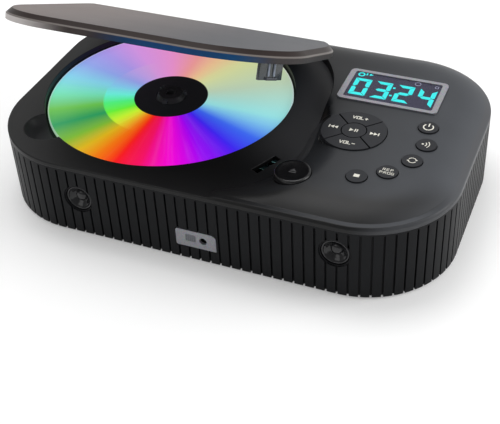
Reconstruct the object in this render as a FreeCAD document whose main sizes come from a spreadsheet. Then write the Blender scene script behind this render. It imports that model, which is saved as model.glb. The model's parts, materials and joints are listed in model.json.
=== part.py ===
import FreeCAD, Part
import Sketcher
import math
import os

os.makedirs("parts", exist_ok=True)
doc = FreeCAD.newDocument("player")

# Driving dimensions in millimetres (angles in degrees), one spreadsheet cell each.
dimensions = {
    # case
    "case_length": 218, "case_depth": 136.4, "corner_radius": 42.2, "foot_height": 1, "wall": 3,
    "seat_height": 38, "cover_thickness": 2.2, "base_thickness": 2, "base_gap": 0.2, "rib_depth": 1.2,
    "groove_width": 0.95, "rib_pitch": 4.9, "rib_top_margin": 0.9, "edge_inset": 0.5,
    "edge_rise": 0.6, "rim_width": 3.2, "rim_rise": 0.9, "pillow_width": 15, "pillow_steps": 8,
    "panel_rise": 5.0, "valley_end": 12.5, "valley_reach": 5, "past": 20,
    # lid
    "lid_west_margin": 1.7, "lid_reach": 76.8, "lid_front_margin": 4.2, "lid_rear_margin": 3.6,
    "lid_radius_sw": 37.4, "lid_radius_se": 41, "lid_radius_nw": 36, "lid_radius_ne": 57,
    "lid_thickness": 5.1, "lid_bevel": 2.6, "lid_wall": 1.8, "lid_gap": 0.3, "lid_side_gap": 0.7,
    "lid_fall_run": 27, "lid_fall_drop": 3.2, "lid_solid_run": 28, "lid_open_angle": 26.6,
    # hinge
    "hinge_margin": 3.1, "hinge_lift": 0.4, "hinge_spacing": 29, "pin_radius": 1, "pin_seat_gap": 0.02,
    "running_gap": 0.05, "barrel_radius": 2.2, "barrel_length": 9.6, "ear_width": 2.2,
    "hinge_side_gap": 0.3, "arm_length": 9, "arm_thickness": 1.1, "hinge_rail_gap": 4,
    # latch
    "hook_inset": 8.7, "hook_angle": -26, "hook_width": 13, "hook_thickness": 1.6, "hook_drop": 8,
    "hook_nib": 1, "hook_nib_height": 1.3, "slot_gap": 0.65, "latch_gap": 0.3, "latch_width": 9,
    "latch_thickness": 2.1, "latch_run": 21, "latch_window": 3.6, "rail_start": 6, "rail_length": 4,
    "rail_side": 3, "rail_thickness": 1.2, "rail_slack": 1,
    # disc drive
    "disc_west_margin": 67.2, "disc_offset": 2.8, "disc_radius": 60, "disc_hole": 7.5,
    "disc_thickness": 1.2, "disc_sink": 3, "well_gap": 1, "well_wall": 1, "well_floor": 1.8,
    "well_clear": 2.3, "scoop_radius": 11, "scoop_west": 42, "scoop_south": 46, "turntable_radius": 14.5,
    "turntable_thickness": 2, "hub_radius": 7.2, "hub_height": 3.4, "hub_tip_radius": 5.8,
    "hub_pit_radius": 2.2, "hub_pit_depth": 1.6, "well_hole_gap": 2, "claw_width": 2.4, "claw_length": 3,
    "claw_height": 1.8, "claw_gap": 0.1, "claw_proud": 0.5, "motor_radius": 11.5, "motor_lift": 4.8,
    "shaft_end_gap": 0.5, "claw_start": 30, "shaft_radius": 1, "shaft_depth": 7,
    # sled
    "deck_west": 20, "deck_east": 78, "deck_south": 32, "deck_north": 30, "deck_thickness": 2,
    "deck_height": 14, "damper_radius": 4.5, "damper_height": 3, "damper_inset": 6,
    "damper_post_radius": 2.5, "damper_post_rise": 1, "damper_post_gap": 0.4, "rod_radius": 1.5,
    "rod_spread": 19, "rod_height": 21, "rod_start": 12, "rod_length": 57, "bracket_width": 3,
    "bracket_margin": 4, "lens_start": 25, "lens_radius": 2.8, "lens_thickness": 0.8,
    "lens_clearance": 1.4, "lens_proud": 0.2, "sled_travel": 30, "slot_end_gap": 1, "carriage_length": 16,
    "carriage_height": 7.5, "carriage_margin": 3.5, "holder_radius": 5.5, "slot_width": 16,
    "screw_radius": 1.6, "screw_spread": 26, "screw_gap": 0.3, "nut_width": 4, "sled_motor_radius": 4.9,
    "sled_motor_length": 12,
    # display
    "display_east_margin": 70.4, "display_front_margin": 83.5, "bezel_length": 47.9, "bezel_width": 26.5,
    "bezel_radius": 2.5, "bezel_height": 0.8, "glass_length": 42.2, "glass_width": 22.2,
    "glass_radius": 1, "glass_thickness": 1, "glass_gap": 0.15, "glass_sink": 0.4,
    # keys
    "skin": 2, "key_gap": 0.25, "key_rise": 0.6, "key_travel": 0.8, "key_flange": 0.7,
    "key_flange_height": 0.9, "key_top_gap": 0.1, "dome_height": 1.1, "pad_east_margin": 54,
    "pad_front_margin": 60, "pad_radius": 14.8, "play_radius": 5.5, "ring_gap": 0.5,
    "small_key_radius": 4.5, "key_arc_radius": 33.3, "key_arc_start": 22.5, "key_arc_step": 23.25,
    "open_reach": 50.6, "open_radius": 8, "open_rise": 0.8, "stem_radius": 2, "stem_length": 6.2,
    "stem_gap": 0.3, "spring_radius": 4, "spring_wire": 0.5, "spring_seat": 1.2,
    "spring_seat_margin": 1.5, "spring_turns": 2.5, "cavity_wall": 2.3, "cavity_margin": 13.2,
    "cavity_end_margin": 14, "cavity_radius": 28, "cavity_radius_west": 4, "mat_thickness": 1,
    "mat_margin": 1, "mat_radius": 1, "dome_radius": 1.6, "dome_gap": 0.1, "board_thickness": 1.6,
    "board_gap": 0.4, "board_hole": 10.2,
    # front and rear interfaces
    "plate_west": -7.8, "plate_length": 19.4, "plate_bottom": 7.9, "plate_height": 9.2,
    "plate_thickness": 1.4, "plate_gap": 0.1, "jack_x": 5.4, "jack_z": 12.5, "jack_bore": 1.8,
    "jack_sleeve": 3, "jack_block": 7, "jack_block_height": 7, "jack_length": 13, "jack_end": 1.2,
    "ir_x": -0.6, "ir_z": 13, "ir_length": 4.6, "ir_height": 3.5, "ir_depth": 4, "ir_gap": 0.1,
    "usb_x": 60, "usb_z": 12, "usb_length": 9, "usb_height": 3.2, "usb_depth": 7.4, "usb_wall": 0.35,
    "usb_gap": 0.2, "usb_tongue": 0.7, "usb_tongue_margin": 1.05,
    # loudspeakers
    "speaker_left_margin": 53, "speaker_left_z": 20.4, "speaker_right_margin": 43,
    "speaker_right_z": 23.6, "port_radius": 7.2, "port_gap": 0.15, "speaker_flange": 8.8,
    "speaker_flange_thickness": 1.5, "speaker_depth": 6.5, "speaker_ring": 0.6, "speaker_sink": 0.5,
    "cone_sink": 0.5, "cone_depth": 4, "cone_throat": 2.6, "cone_skin": 0.5, "cap_radius": 3.9,
    "cap_tip_radius": 1.95, "cap_height": 2.2, "magnet_radius": 6.2, "magnet_depth": 6,
    "basket_throat": 5.2,
    # fastenings, feet, boards and cell
    "post_corner_inset": 7.9, "post_middle_x": 24, "post_middle_inset": 9, "post_left_inset": 33,
    "post_radius": 3.2, "screw_shank": 1.2, "screw_head": 2.6, "screw_head_depth": 1.1,
    "screw_length": 10, "screw_fit": 0.05, "head_gap": 0.2, "foot_radius": 7, "foot_recess": 0.8,
    "foot_gap": 0.2, "foot_inset_x": 48, "foot_inset_y": 16, "main_length": 58, "main_width": 70,
    "main_east_margin": 73, "main_front_margin": 33, "main_height": 8, "standoff_radius": 2.5,
    "standoff_inset": 4, "part_inset": 9, "part_pitch": 14, "chip_side": 10, "chip_height": 1.4,
    "capacitor_radius": 4, "capacitor_height": 8, "cell_radius": 9.2, "cell_length": 65, "cell_west": 20,
    "cell_y": 46, "cell_gap": 0.2, "cradle_width": 4, "cradle_height": 5, "cradle_inset": 10,
}

sheet = doc.addObject("Spreadsheet::Sheet", "Sizes")
for row, (name, number) in enumerate(dimensions.items(), start=1):
    sheet.set("A%d" % row, name)
    sheet.set("B%d" % row, str(number))
    sheet.setAlias("B%d" % row, name)
doc.recompute()


class Size:
    """A dimension that carries both its number and the expression that drives it."""

    def __init__(self, text, number):
        self.text = text
        self.number = number

    def join(self, other, sign, number):
        return Size("(%s %s %s)" % (self.text, sign, size(other).text), number)

    def __add__(self, other):
        return self.join(other, "+", self.number + size(other).number)

    def __sub__(self, other):
        return self.join(other, "-", self.number - size(other).number)

    def __mul__(self, other):
        return self.join(other, "*", self.number * size(other).number)

    def __truediv__(self, other):
        return self.join(other, "/", self.number / size(other).number)

    def __radd__(self, other):
        return size(other) + self

    def __rsub__(self, other):
        return size(other) - self

    def __rmul__(self, other):
        return size(other) * self

    def __neg__(self):
        return size(0) - self


def size(value):
    return value if isinstance(value, Size) else Size("(%r)" % value, value)


class Cells:
    """Gives each cell of the sheet as a Size, under its alias."""

    def __getattr__(self, alias):
        return Size("Sizes." + alias, float(sheet.get(alias)))


def cos_of(angle):
    return Size("cos(%s * 1 deg)" % angle.text, math.cos(math.radians(angle.number)))


def sin_of(angle):
    return Size("sin(%s * 1 deg)" % angle.text, math.sin(math.radians(angle.number)))


c = Cells()
tolerance = 0.01

# Levels and places worked out from the cells.
case_bottom = c.foot_height
case_half = c.case_length / 2
depth_half = c.case_depth / 2
cover_bottom = c.seat_height - c.cover_thickness
panel_top = c.seat_height + c.panel_rise
panel_under = panel_top - c.skin
base_top = case_bottom + c.base_thickness
front = -depth_half
disc_x = c.disc_west_margin - case_half
disc_y = c.disc_offset
disc_top = c.seat_height - c.disc_sink
disc_under = disc_top - c.disc_thickness
hinge_y = depth_half - c.hinge_margin
hinge_z = c.seat_height + c.hinge_lift

pieces = []
deg = FreeCAD.Rotation
along_x = deg(FreeCAD.Vector(0, 1, 0), 90)
along_y = deg(FreeCAD.Vector(1, 0, 0), -90)


def bind(item, **values):
    for name, value in values.items():
        item.setExpression(name, size(value).text)


def put(item, x, y, z, turn=None):
    x, y, z = size(x), size(y), size(z)
    place = FreeCAD.Vector(x.number, y.number, z.number)
    item.Placement = FreeCAD.Placement(place, turn or deg())
    for axis, value in (("x", x), ("y", y), ("z", z)):
        item.setExpression("Placement.Base." + axis, value.text)
    return item


def box(x, y, z, length, width, height, turn=None):
    item = doc.addObject("Part::Box", "block")
    bind(item, Length=length, Width=width, Height=height)
    return put(item, x, y, z, turn)


def rod(x, y, z, radius, height, turn=None):
    item = doc.addObject("Part::Cylinder", "round")
    bind(item, Radius=radius, Height=height)
    return put(item, x, y, z, turn)


def taper(x, y, z, radius, end_radius, height, turn=None):
    item = doc.addObject("Part::Cone", "taper")
    bind(item, Radius1=radius, Radius2=end_radius, Height=height)
    return put(item, x, y, z, turn)


def fuse(*items):
    if len(items) == 1:
        return items[0]
    item = doc.addObject("Part::MultiFuse", "joined")
    item.Shapes = list(items)
    return item


def cut(base, *tools):
    item = doc.addObject("Part::Cut", "cut")
    item.Base = base
    item.Tool = fuse(*tools)
    return item


def common(first, second):
    item = doc.addObject("Part::MultiCommon", "shared")
    item.Shapes = [first, second]
    return item


def piece(label, item):
    item.Label = label
    pieces.append(item)
    return item


def group(label, items):
    """Several separate solids of one kind, kept as one sub-part."""
    item = doc.addObject("Part::Compound", "group")
    item.Links = list(items)
    return piece(label, item)


def new_body(name):
    return doc.addObject("PartDesign::Body", name)


def rounded_sketch(body, west, east_edge, south_edge, north, radii, height):
    """A rectangle with tangent corner arcs (radii south-west, south-east, north-east, north-west)."""
    sketch = body.newObject("Sketcher::SketchObject", "outline")
    plane = [item for item in body.Origin.OriginFeatures if item.Role == "XY_Plane"][0]
    sketch.AttachmentSupport = [(plane, "")]
    sketch.MapMode = "FlatFace"
    sketch.setExpression("AttachmentOffset.Base.z", size(height).text)
    edges = [size(value) for value in (west, east_edge, south_edge, north)]
    low_x, high_x, low_y, high_y = [edge.number for edge in edges]
    r = [size(radius).number for radius in radii]
    centres = [(low_x + r[0], low_y + r[0]), (high_x - r[1], low_y + r[1]),
               (high_x - r[2], high_y - r[2]), (low_x + r[3], high_y - r[3])]
    for turn, ((x, y), radius) in enumerate(zip(centres, r)):
        circle = Part.Circle(FreeCAD.Vector(x, y, 0), FreeCAD.Vector(0, 0, 1), radius)
        start = math.pi * (1 + turn / 2)
        sketch.addGeometry(Part.ArcOfCircle(circle, start, start + math.pi / 2), False)
    ends = [(centres[0][0], low_y, centres[1][0], low_y), (high_x, centres[1][1], high_x, centres[2][1]),
            (centres[2][0], high_y, centres[3][0], high_y), (low_x, centres[3][1], low_x, centres[0][1])]
    for x1, y1, x2, y2 in ends:
        line = Part.LineSegment(FreeCAD.Vector(x1, y1, 0), FreeCAD.Vector(x2, y2, 0))
        sketch.addGeometry(line, False)
    for side in range(4):
        line = side + 4
        sketch.addConstraint(Sketcher.Constraint("Tangent", side, 2, line, 1))
        sketch.addConstraint(Sketcher.Constraint("Tangent", line, 2, (side + 1) % 4, 1))
        sketch.addConstraint(Sketcher.Constraint("Vertical" if side % 2 else "Horizontal", line))
    for side, radius in enumerate(radii):
        index = sketch.addConstraint(Sketcher.Constraint("Radius", side, r[side]))
        sketch.setExpression("Constraints[%d]" % index, size(radius).text)
    for line, kind, edge in ((7, "DistanceX", edges[0]), (5, "DistanceX", edges[1]),
                             (4, "DistanceY", edges[2]), (6, "DistanceY", edges[3])):
        index = sketch.addConstraint(Sketcher.Constraint(kind, -1, 1, line, 1, edge.number))
        sketch.setExpression("Constraints[%d]" % index, edge.text)
    return sketch


def pad(body, sketch, length):
    item = body.newObject("PartDesign::Pad", "pad")
    item.Profile = sketch
    bind(item, Length=length)
    sketch.Visibility = False
    return item


def slab(west, east_edge, south_edge, north, radii, bottom, height):
    """A rounded plate as a body with one sketch and one pad."""
    body = new_body("slab")
    pad(body, rounded_sketch(body, west, east_edge, south_edge, north, radii, bottom), height)
    return body


def case_slab(inset, bottom, height):
    radius = c.corner_radius - inset
    return slab(inset - case_half, case_half - inset, inset - depth_half, depth_half - inset,
                [radius] * 4, bottom, height)


def rib_cutters(bottom, top):
    """Thin blocks standing round the case wall, one per groove, evenly spaced along its outline."""
    radius = c.corner_radius.number
    half_x, half_y = case_half.number - radius, depth_half.number - radius
    runs = []
    for turn, (x, y, straight) in enumerate(((half_x, -half_y, 2 * half_y), (half_x, half_y, 2 * half_x),
                                             (-half_x, half_y, 2 * half_y), (-half_x, -half_y, 2 * half_x))):
        runs.append((x, y, turn * 90, straight, radius * math.pi / 2))
    around = sum(run[3] + run[4] for run in runs)
    count = round(around / c.rib_pitch.number)
    depth, width = c.rib_depth.number, c.groove_width.number
    height = top - bottom
    blocks = []
    for number in range(count):
        travel = (number + 0.5) * around / count
        for x, y, heading, straight, arc in runs:
            if travel < straight + arc:
                break
            travel -= straight + arc
        angle = heading
        side = math.radians(heading + 90)
        if travel < straight:
            x, y = x + travel * math.cos(side), y + travel * math.sin(side)
        else:
            x, y = x + straight * math.cos(side), y + straight * math.sin(side)
            angle += math.degrees((travel - straight) / radius)
        block = Part.makeBox(2 * depth, width, height, FreeCAD.Vector(radius - depth, -width / 2, bottom))
        block.rotate(FreeCAD.Vector(), FreeCAD.Vector(0, 0, 1), angle)
        block.translate(FreeCAD.Vector(x, y, 0))
        blocks.append(block)
    item = doc.addObject("Part::Feature", "ribs")
    item.Shape = Part.makeCompound(blocks)
    return item


speakers = {"left": (c.speaker_left_margin - case_half, c.speaker_left_z),
            "right": (case_half - c.speaker_right_margin, c.speaker_right_z)}
jack_y = front + c.plate_thickness


def ribbed_case():
    shell = cut(case_slab(0, case_bottom, cover_bottom - case_bottom),
                case_slab(c.wall, case_bottom, cover_bottom - case_bottom))
    rib_top = cover_bottom - c.rib_top_margin
    ports = [rod(x, front, z, c.port_radius, 2 * c.wall, along_y) for x, z in speakers.values()]
    ports += [rod(x, front + c.wall, z, c.speaker_flange + c.port_gap, c.wall, along_y)
              for x, z in speakers.values()]
    plate_seat = box(c.plate_west - c.plate_gap, front, c.plate_bottom - c.plate_gap,
                     c.plate_length + 2 * c.plate_gap, c.plate_thickness, c.plate_height + 2 * c.plate_gap)
    jack_hole = rod(c.jack_x, front, c.jack_z, c.jack_sleeve + c.plate_gap, c.wall, along_y)
    ir_hole = box(c.ir_x - c.ir_length / 2 - c.ir_gap, front, c.ir_z - c.ir_height / 2 - c.ir_gap,
                  c.ir_length + 2 * c.ir_gap, c.wall, c.ir_height + 2 * c.ir_gap)
    usb_hole = box(c.usb_x - c.usb_length / 2 - c.usb_gap, depth_half - c.wall,
                   c.usb_z - c.usb_height / 2 - c.usb_gap,
                   c.usb_length + 2 * c.usb_gap, c.wall, c.usb_height + 2 * c.usb_gap)
    ribs = rib_cutters(case_bottom.number, rib_top.number)
    piece("ribbed_case", cut(shell, ribs, plate_seat, jack_hole, ir_hole, usb_hole, *ports))


def post_places():
    across = (c.corner_radius - c.post_corner_inset) * math.sqrt(0.5) - c.corner_radius
    x, y = case_half + across, depth_half + across
    middle = depth_half - c.post_middle_inset
    return [(c.post_left_inset - case_half, -middle), (x, -y), (x, y), (-x, y),
            (c.post_middle_x, -middle), (c.post_middle_x, middle)]


def foot_places():
    x, y = case_half - c.foot_inset_x, depth_half - c.foot_inset_y
    return [(-x, -y), (x, -y), (x, y), (-x, y)]


def damper_places():
    west, far_east = disc_x - c.deck_west + c.damper_inset, disc_x + c.deck_east - c.damper_inset
    low, high = disc_y - c.deck_south + c.damper_inset, disc_y + c.deck_north - c.damper_inset
    return [(west, low), (far_east, low), (far_east, high), (west, high)]


main_west = case_half - c.main_east_margin
main_south = front + c.main_front_margin


def standoff_places():
    inset = c.standoff_inset
    return [(x, y) for x in (main_west + inset, main_west + c.main_length - inset)
            for y in (main_south + inset, main_south + c.main_width - inset)]


def bottom_cover():
    plate = case_slab(c.wall + c.base_gap, case_bottom, c.base_thickness)
    seats = [rod(x, y, case_bottom, c.foot_radius + c.foot_gap, c.foot_recess) for x, y in foot_places()]
    holes = [rod(x, y, case_bottom, c.screw_shank + c.screw_fit, c.base_thickness) for x, y in post_places()]
    sinks = [rod(x, y, case_bottom, c.screw_head + c.head_gap, c.screw_head_depth) for x, y in post_places()]
    stands = []
    for x, y in damper_places():
        shoulder = c.deck_height - c.damper_height
        stands.append(rod(x, y, base_top, c.damper_radius, shoulder - base_top))
        stands.append(rod(x, y, shoulder, c.damper_post_radius,
                          c.damper_height + c.deck_thickness + c.damper_post_rise))
    for x, y in standoff_places():
        stands.append(rod(x, y, base_top, c.standoff_radius, c.main_height - base_top))
    for x in (c.cell_west + c.cradle_inset, c.cell_west + c.cell_length - c.cradle_inset - c.cradle_width):
        cradle = box(x, c.cell_y - c.cell_radius, base_top, c.cradle_width, 2 * c.cell_radius,
                     c.cradle_height)
        bed = rod(x, c.cell_y, base_top + c.cell_gap + c.cell_radius, c.cell_radius + c.cell_gap,
                  c.cradle_width, along_x)
        stands.append(cut(cradle, bed))
    piece("bottom_cover", fuse(cut(plate, *(seats + holes + sinks)), *stands))


def feet():
    for number, (x, y) in enumerate(foot_places(), start=1):
        piece("rubber_foot_%d" % number, rod(x, y, 0, c.foot_radius, c.foot_height + c.foot_recess))


def case_screws():
    screws = []
    for x, y in post_places():
        head = rod(x, y, case_bottom, c.screw_head, c.screw_head_depth)
        shank = rod(x, y, case_bottom, c.screw_shank, c.screw_length)
        screws.append(fuse(head, shank))
    group("case_screws", screws)


def smooth_top():
    """The cover's outer form: rounded outlines that draw in as they rise."""
    body = new_body("dome")
    pad(body, rounded_sketch(body, -case_half, case_half, -depth_half, depth_half,
                             [c.corner_radius] * 4, cover_bottom), c.cover_thickness)
    steps = [(0, 0), (c.edge_inset, c.edge_rise), (c.rim_width, c.rim_rise)]
    for step in range(1, int(c.pillow_steps.number) + 1):
        turn = size(90 * step) / c.pillow_steps
        steps.append((c.rim_width + c.pillow_width * (1 - cos_of(turn)),
                      c.rim_rise + (c.panel_rise - c.rim_rise) * sin_of(turn)))
    rings = []
    for inset, rise in steps:
        radius = c.corner_radius - inset
        rings.append(rounded_sketch(body, inset - case_half, case_half - inset, inset - depth_half,
                                    depth_half - inset, [radius] * 4, c.seat_height + rise))
    loft = body.newObject("PartDesign::AdditiveLoft", "dome")
    loft.Profile = rings[0]
    loft.Sections = rings[1:]
    loft.Ruled = True
    return body


lid_west = c.lid_west_margin - case_half
lid_east = disc_x + c.lid_reach
lid_south = c.lid_front_margin - depth_half
lid_north = depth_half - c.lid_rear_margin
lid_radii = [c.lid_radius_sw, c.lid_radius_se, c.lid_radius_ne, c.lid_radius_nw]
lid_bottom = c.seat_height + c.lid_gap
lid_top = lid_bottom + c.lid_thickness
hinge_x = [disc_x - c.hinge_spacing / 2, disc_x + c.hinge_spacing / 2]
arc_x = lid_east - c.lid_radius_se
arc_y = lid_south + c.lid_radius_se
hook_radius = c.lid_radius_se - c.hook_inset
hook_turn = deg(FreeCAD.Vector(0, 0, 1), c.hook_angle.number)


def at_corner(radius, sideways):
    """A point at a radius from the lid's front right corner arc, along the hook's direction."""
    cosine, sine = cos_of(c.hook_angle), sin_of(c.hook_angle)
    return arc_x + radius * cosine - sideways * sine, arc_y + radius * sine + sideways * cosine


def corner_block(inner, outer, width, bottom, height):
    x, y = at_corner(inner, -width / 2)
    return box(x, y, bottom, outer - inner, width, height, hook_turn)


def ear_reach():
    return c.barrel_length / 2 + c.hinge_side_gap + c.ear_width


def well_outline(radius_gap, bottom, height):
    """The disc well and its finger scoop, as one round form with a gap round the disc."""
    well = rod(disc_x, disc_y, bottom, c.disc_radius + radius_gap, height)
    scoop = rod(disc_x - c.scoop_west, disc_y - c.scoop_south, bottom,
                c.scoop_radius + radius_gap - c.well_gap, height)
    return fuse(well, scoop)


display_x = case_half - c.display_east_margin
display_y = front + c.display_front_margin
glass_x = display_x + (c.bezel_length - c.glass_length) / 2
glass_y = display_y + (c.bezel_width - c.glass_width) / 2
key_bottom = panel_under - c.key_top_gap - c.key_flange_height
dome_top = key_bottom - c.key_travel - c.dome_gap
mat_top = dome_top - c.dome_height
board_top = mat_top - c.mat_thickness
small_keys = ["power_key", "source_key", "mode_key", "program_key", "stop_key"]
key_angles = [c.key_arc_start - c.key_arc_step * number for number in range(len(small_keys))]
pad_x = case_half - c.pad_east_margin
pad_y = front + c.pad_front_margin
open_x, open_y = at_corner(c.open_reach, size(0))
cavity_west = lid_east + c.lid_side_gap + c.cavity_wall


def small_key_place(angle):
    return pad_x + c.key_arc_radius * cos_of(angle), pad_y + c.key_arc_radius * sin_of(angle)


def top_cover():
    side = c.lid_side_gap
    far_west = -case_half - c.past
    headroom = c.panel_rise + c.past
    recess = slab(far_west, lid_east + side, lid_south - side, hinge_y + c.hinge_rail_gap,
                  [1, c.lid_radius_se + side, c.lid_radius_ne, 1], c.seat_height, headroom)
    front_clear = box(far_west, front - c.past, c.seat_height, arc_x + c.valley_end - far_west,
                      lid_south + c.valley_reach - front + c.past, headroom)
    cavity_south, cavity_north = c.cavity_end_margin - depth_half, depth_half - c.cavity_end_margin
    cavity = slab(cavity_west, case_half - c.cavity_margin, cavity_south, cavity_north,
                  [c.cavity_radius_west, c.cavity_radius, c.cavity_radius, c.cavity_radius_west],
                  cover_bottom, panel_under - cover_bottom)
    window = box(glass_x - c.glass_gap, glass_y - c.glass_gap, panel_under,
                 c.glass_length + 2 * c.glass_gap, c.glass_width + 2 * c.glass_gap, c.skin)
    holes = [rod(pad_x, pad_y, panel_under, c.pad_radius + c.key_gap, c.skin),
             rod(open_x, open_y, cover_bottom + c.spring_seat, c.open_radius + c.key_gap,
                 panel_top - cover_bottom - c.spring_seat)]
    for angle in key_angles:
        x, y = small_key_place(angle)
        holes.append(rod(x, y, panel_under, c.small_key_radius + c.key_gap, c.skin))
    slot_end = hook_radius + c.hook_thickness + c.hook_nib + c.slot_gap
    hook_slot = corner_block(hook_radius - c.slot_gap, slot_end, c.hook_width + 2 * c.slot_gap,
                             cover_bottom, c.cover_thickness)
    pockets, ears, bores = [], [], []
    for x in hinge_x:
        reach = c.barrel_length / 2 + c.hinge_side_gap
        radius = c.barrel_radius + c.hinge_side_gap
        pockets.append(box(x - reach, hinge_y - radius, cover_bottom, 2 * reach, 2 * radius,
                           c.cover_thickness))
        for start in (-ear_reach(), reach):
            ears.append(rod(x + start, hinge_y, hinge_z, c.barrel_radius, c.ear_width, along_x))
        bores.append(rod(x - ear_reach(), hinge_y, hinge_z, c.pin_radius + c.pin_seat_gap,
                         2 * ear_reach(), along_x))
    shell = cut(smooth_top(), recess, front_clear, cavity, window, hook_slot,
                well_outline(c.well_gap, cover_bottom, c.cover_thickness), *(holes + pockets))
    posts = [rod(x, y, base_top, c.post_radius, cover_bottom - base_top) for x, y in post_places()]
    spring_seat = rod(open_x, open_y, cover_bottom, c.open_radius + c.spring_seat_margin, c.spring_seat)
    stem_hole = rod(open_x, open_y, cover_bottom, c.stem_radius + c.stem_gap, c.spring_seat)
    rail_z = cover_bottom - c.latch_thickness - 2 * c.latch_gap
    rail_in, rail_out = hook_radius + c.rail_start, hook_radius + c.rail_start + c.rail_length
    rail = cut(corner_block(rail_in, rail_out, c.latch_width + 2 * c.rail_side, rail_z - c.rail_thickness,
                            cover_bottom - rail_z + c.rail_thickness),
               corner_block(rail_in - c.rail_slack, rail_out + c.rail_slack, c.latch_width + 2 * c.latch_gap,
                            rail_z, cover_bottom - rail_z))
    pilots = [rod(x, y, base_top, c.screw_shank + c.screw_fit, c.screw_length) for x, y in post_places()]
    piece("top_cover", cut(fuse(shell, spring_seat, rail, *(posts + ears)), stem_hole, *(pilots + bores)))


def disc_well():
    bottom = disc_under - c.well_clear - c.well_floor
    outer = well_outline(c.well_gap + c.well_wall, bottom, cover_bottom - bottom)
    inner = well_outline(c.well_gap, bottom + c.well_floor, cover_bottom - bottom - c.well_floor)
    hub_hole = rod(disc_x, disc_y, bottom, c.turntable_radius + c.well_hole_gap, c.well_floor)
    slot_end = c.lens_start + c.sled_travel + c.holder_radius + c.slot_end_gap
    slot = box(disc_x, disc_y - c.slot_width / 2, bottom, slot_end, c.slot_width, c.well_floor)
    piece("disc_well", cut(outer, inner, hub_hole, slot))


def disc_drive():
    flange = rod(disc_x, disc_y, disc_under - c.turntable_thickness, c.turntable_radius,
                 c.turntable_thickness)
    hub = rod(disc_x, disc_y, disc_under, c.hub_radius, c.disc_thickness)
    tip = taper(disc_x, disc_y, disc_top, c.hub_radius, c.hub_tip_radius, c.hub_height - c.disc_thickness)
    shaft = rod(disc_x, disc_y, disc_under - c.turntable_thickness - c.motor_lift - c.shaft_depth,
                c.shaft_radius, c.shaft_depth + c.motor_lift)
    pit = rod(disc_x, disc_y, disc_under + c.hub_height - c.hub_pit_depth, c.hub_pit_radius, c.hub_pit_depth)
    slots, claws = [], []
    for third in range(3):
        angle = c.claw_start + 120 * third
        spin = deg(FreeCAD.Vector(0, 0, 1), angle.number)
        for gap, made in ((c.claw_gap, slots), (0, claws)):
            inner = c.hub_radius - c.claw_length + c.claw_proud - gap
            x = disc_x + inner * cos_of(angle) + (c.claw_width / 2 + gap) * sin_of(angle)
            y = disc_y + inner * sin_of(angle) - (c.claw_width / 2 + gap) * cos_of(angle)
            made.append(box(x, y, disc_top + c.claw_gap - gap, c.claw_length + 2 * gap,
                            c.claw_width + 2 * gap, c.claw_height + 2 * gap, spin))
    piece("turntable", cut(fuse(flange, hub, tip, shaft), pit, *slots))
    group("hub_claws", claws)
    plate = rod(disc_x, disc_y, disc_under, c.disc_radius, c.disc_thickness)
    piece("compact_disc", cut(plate, rod(disc_x, disc_y, disc_under, c.disc_hole, c.disc_thickness)))
    top = disc_under - c.turntable_thickness - c.motor_lift
    motor = rod(disc_x, disc_y, c.deck_height + c.deck_thickness, c.motor_radius,
                top - c.deck_height - c.deck_thickness)
    depth = c.shaft_depth + c.shaft_end_gap
    bore = rod(disc_x, disc_y, top - depth, c.shaft_radius + c.running_gap, depth)
    piece("spindle_motor", cut(motor, bore))


deck_top = c.deck_height + c.deck_thickness
rod_west = disc_x + c.rod_start
lens_x = disc_x + c.lens_start
screw_y = disc_y - c.screw_spread


def deck():
    west, south_edge = disc_x - c.deck_west, disc_y - c.deck_south
    plate = box(west, south_edge, c.deck_height, c.deck_west + c.deck_east, c.deck_south + c.deck_north,
                c.deck_thickness)
    holes = [rod(x, y, c.deck_height, c.damper_post_radius + c.damper_post_gap, c.deck_thickness)
             for x, y in damper_places()]
    brackets, bores = [], []
    ends = (rod_west, rod_west + c.rod_length - c.bracket_width)
    for end, x in enumerate(ends):
        for y in (disc_y - c.rod_spread, disc_y + c.rod_spread):
            reach = c.bracket_margin
            brackets.append(box(x, y - reach, deck_top, c.bracket_width, 2 * reach,
                                c.rod_height + reach - deck_top))
        if end:
            low = screw_y - c.bracket_margin
            brackets.append(box(x, low, deck_top, c.bracket_width, disc_y - c.rod_spread - low,
                                c.rod_height + c.bracket_margin - deck_top))
    for y in (disc_y - c.rod_spread, disc_y + c.rod_spread):
        bores.append(rod(rod_west, y, c.rod_height, c.rod_radius + c.pin_seat_gap, c.rod_length, along_x))
    bores.append(rod(ends[1], screw_y, c.rod_height, c.screw_radius + c.running_gap, c.bracket_width,
                     along_x))
    piece("deck_chassis", cut(fuse(plate, *brackets), *(holes + bores)))
    dampers = []
    for x, y in damper_places():
        ring = rod(x, y, c.deck_height - c.damper_height, c.damper_radius, c.damper_height)
        bore = rod(x, y, c.deck_height - c.damper_height, c.damper_post_radius + c.damper_post_gap / 2,
                   c.damper_height)
        dampers.append(cut(ring, bore))
    group("deck_dampers", dampers)
    for name, y in (("front", disc_y - c.rod_spread), ("rear", disc_y + c.rod_spread)):
        piece("guide_rod_" + name, rod(rod_west, y, c.rod_height, c.rod_radius, c.rod_length, along_x))
    motor_end = rod_west - c.running_gap
    length = ends[1] + c.bracket_width - motor_end
    piece("sled_screw", rod(motor_end, screw_y, c.rod_height, c.screw_radius, length, along_x))
    motor = rod(motor_end - c.sled_motor_length, screw_y, c.rod_height, c.sled_motor_radius,
                c.sled_motor_length - c.running_gap, along_x)
    foot = box(motor_end - c.sled_motor_length, screw_y - c.bracket_margin / 2, deck_top,
               c.sled_motor_length - c.running_gap, c.bracket_margin, c.rod_height - deck_top)
    piece("sled_motor", fuse(motor, foot))


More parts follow.
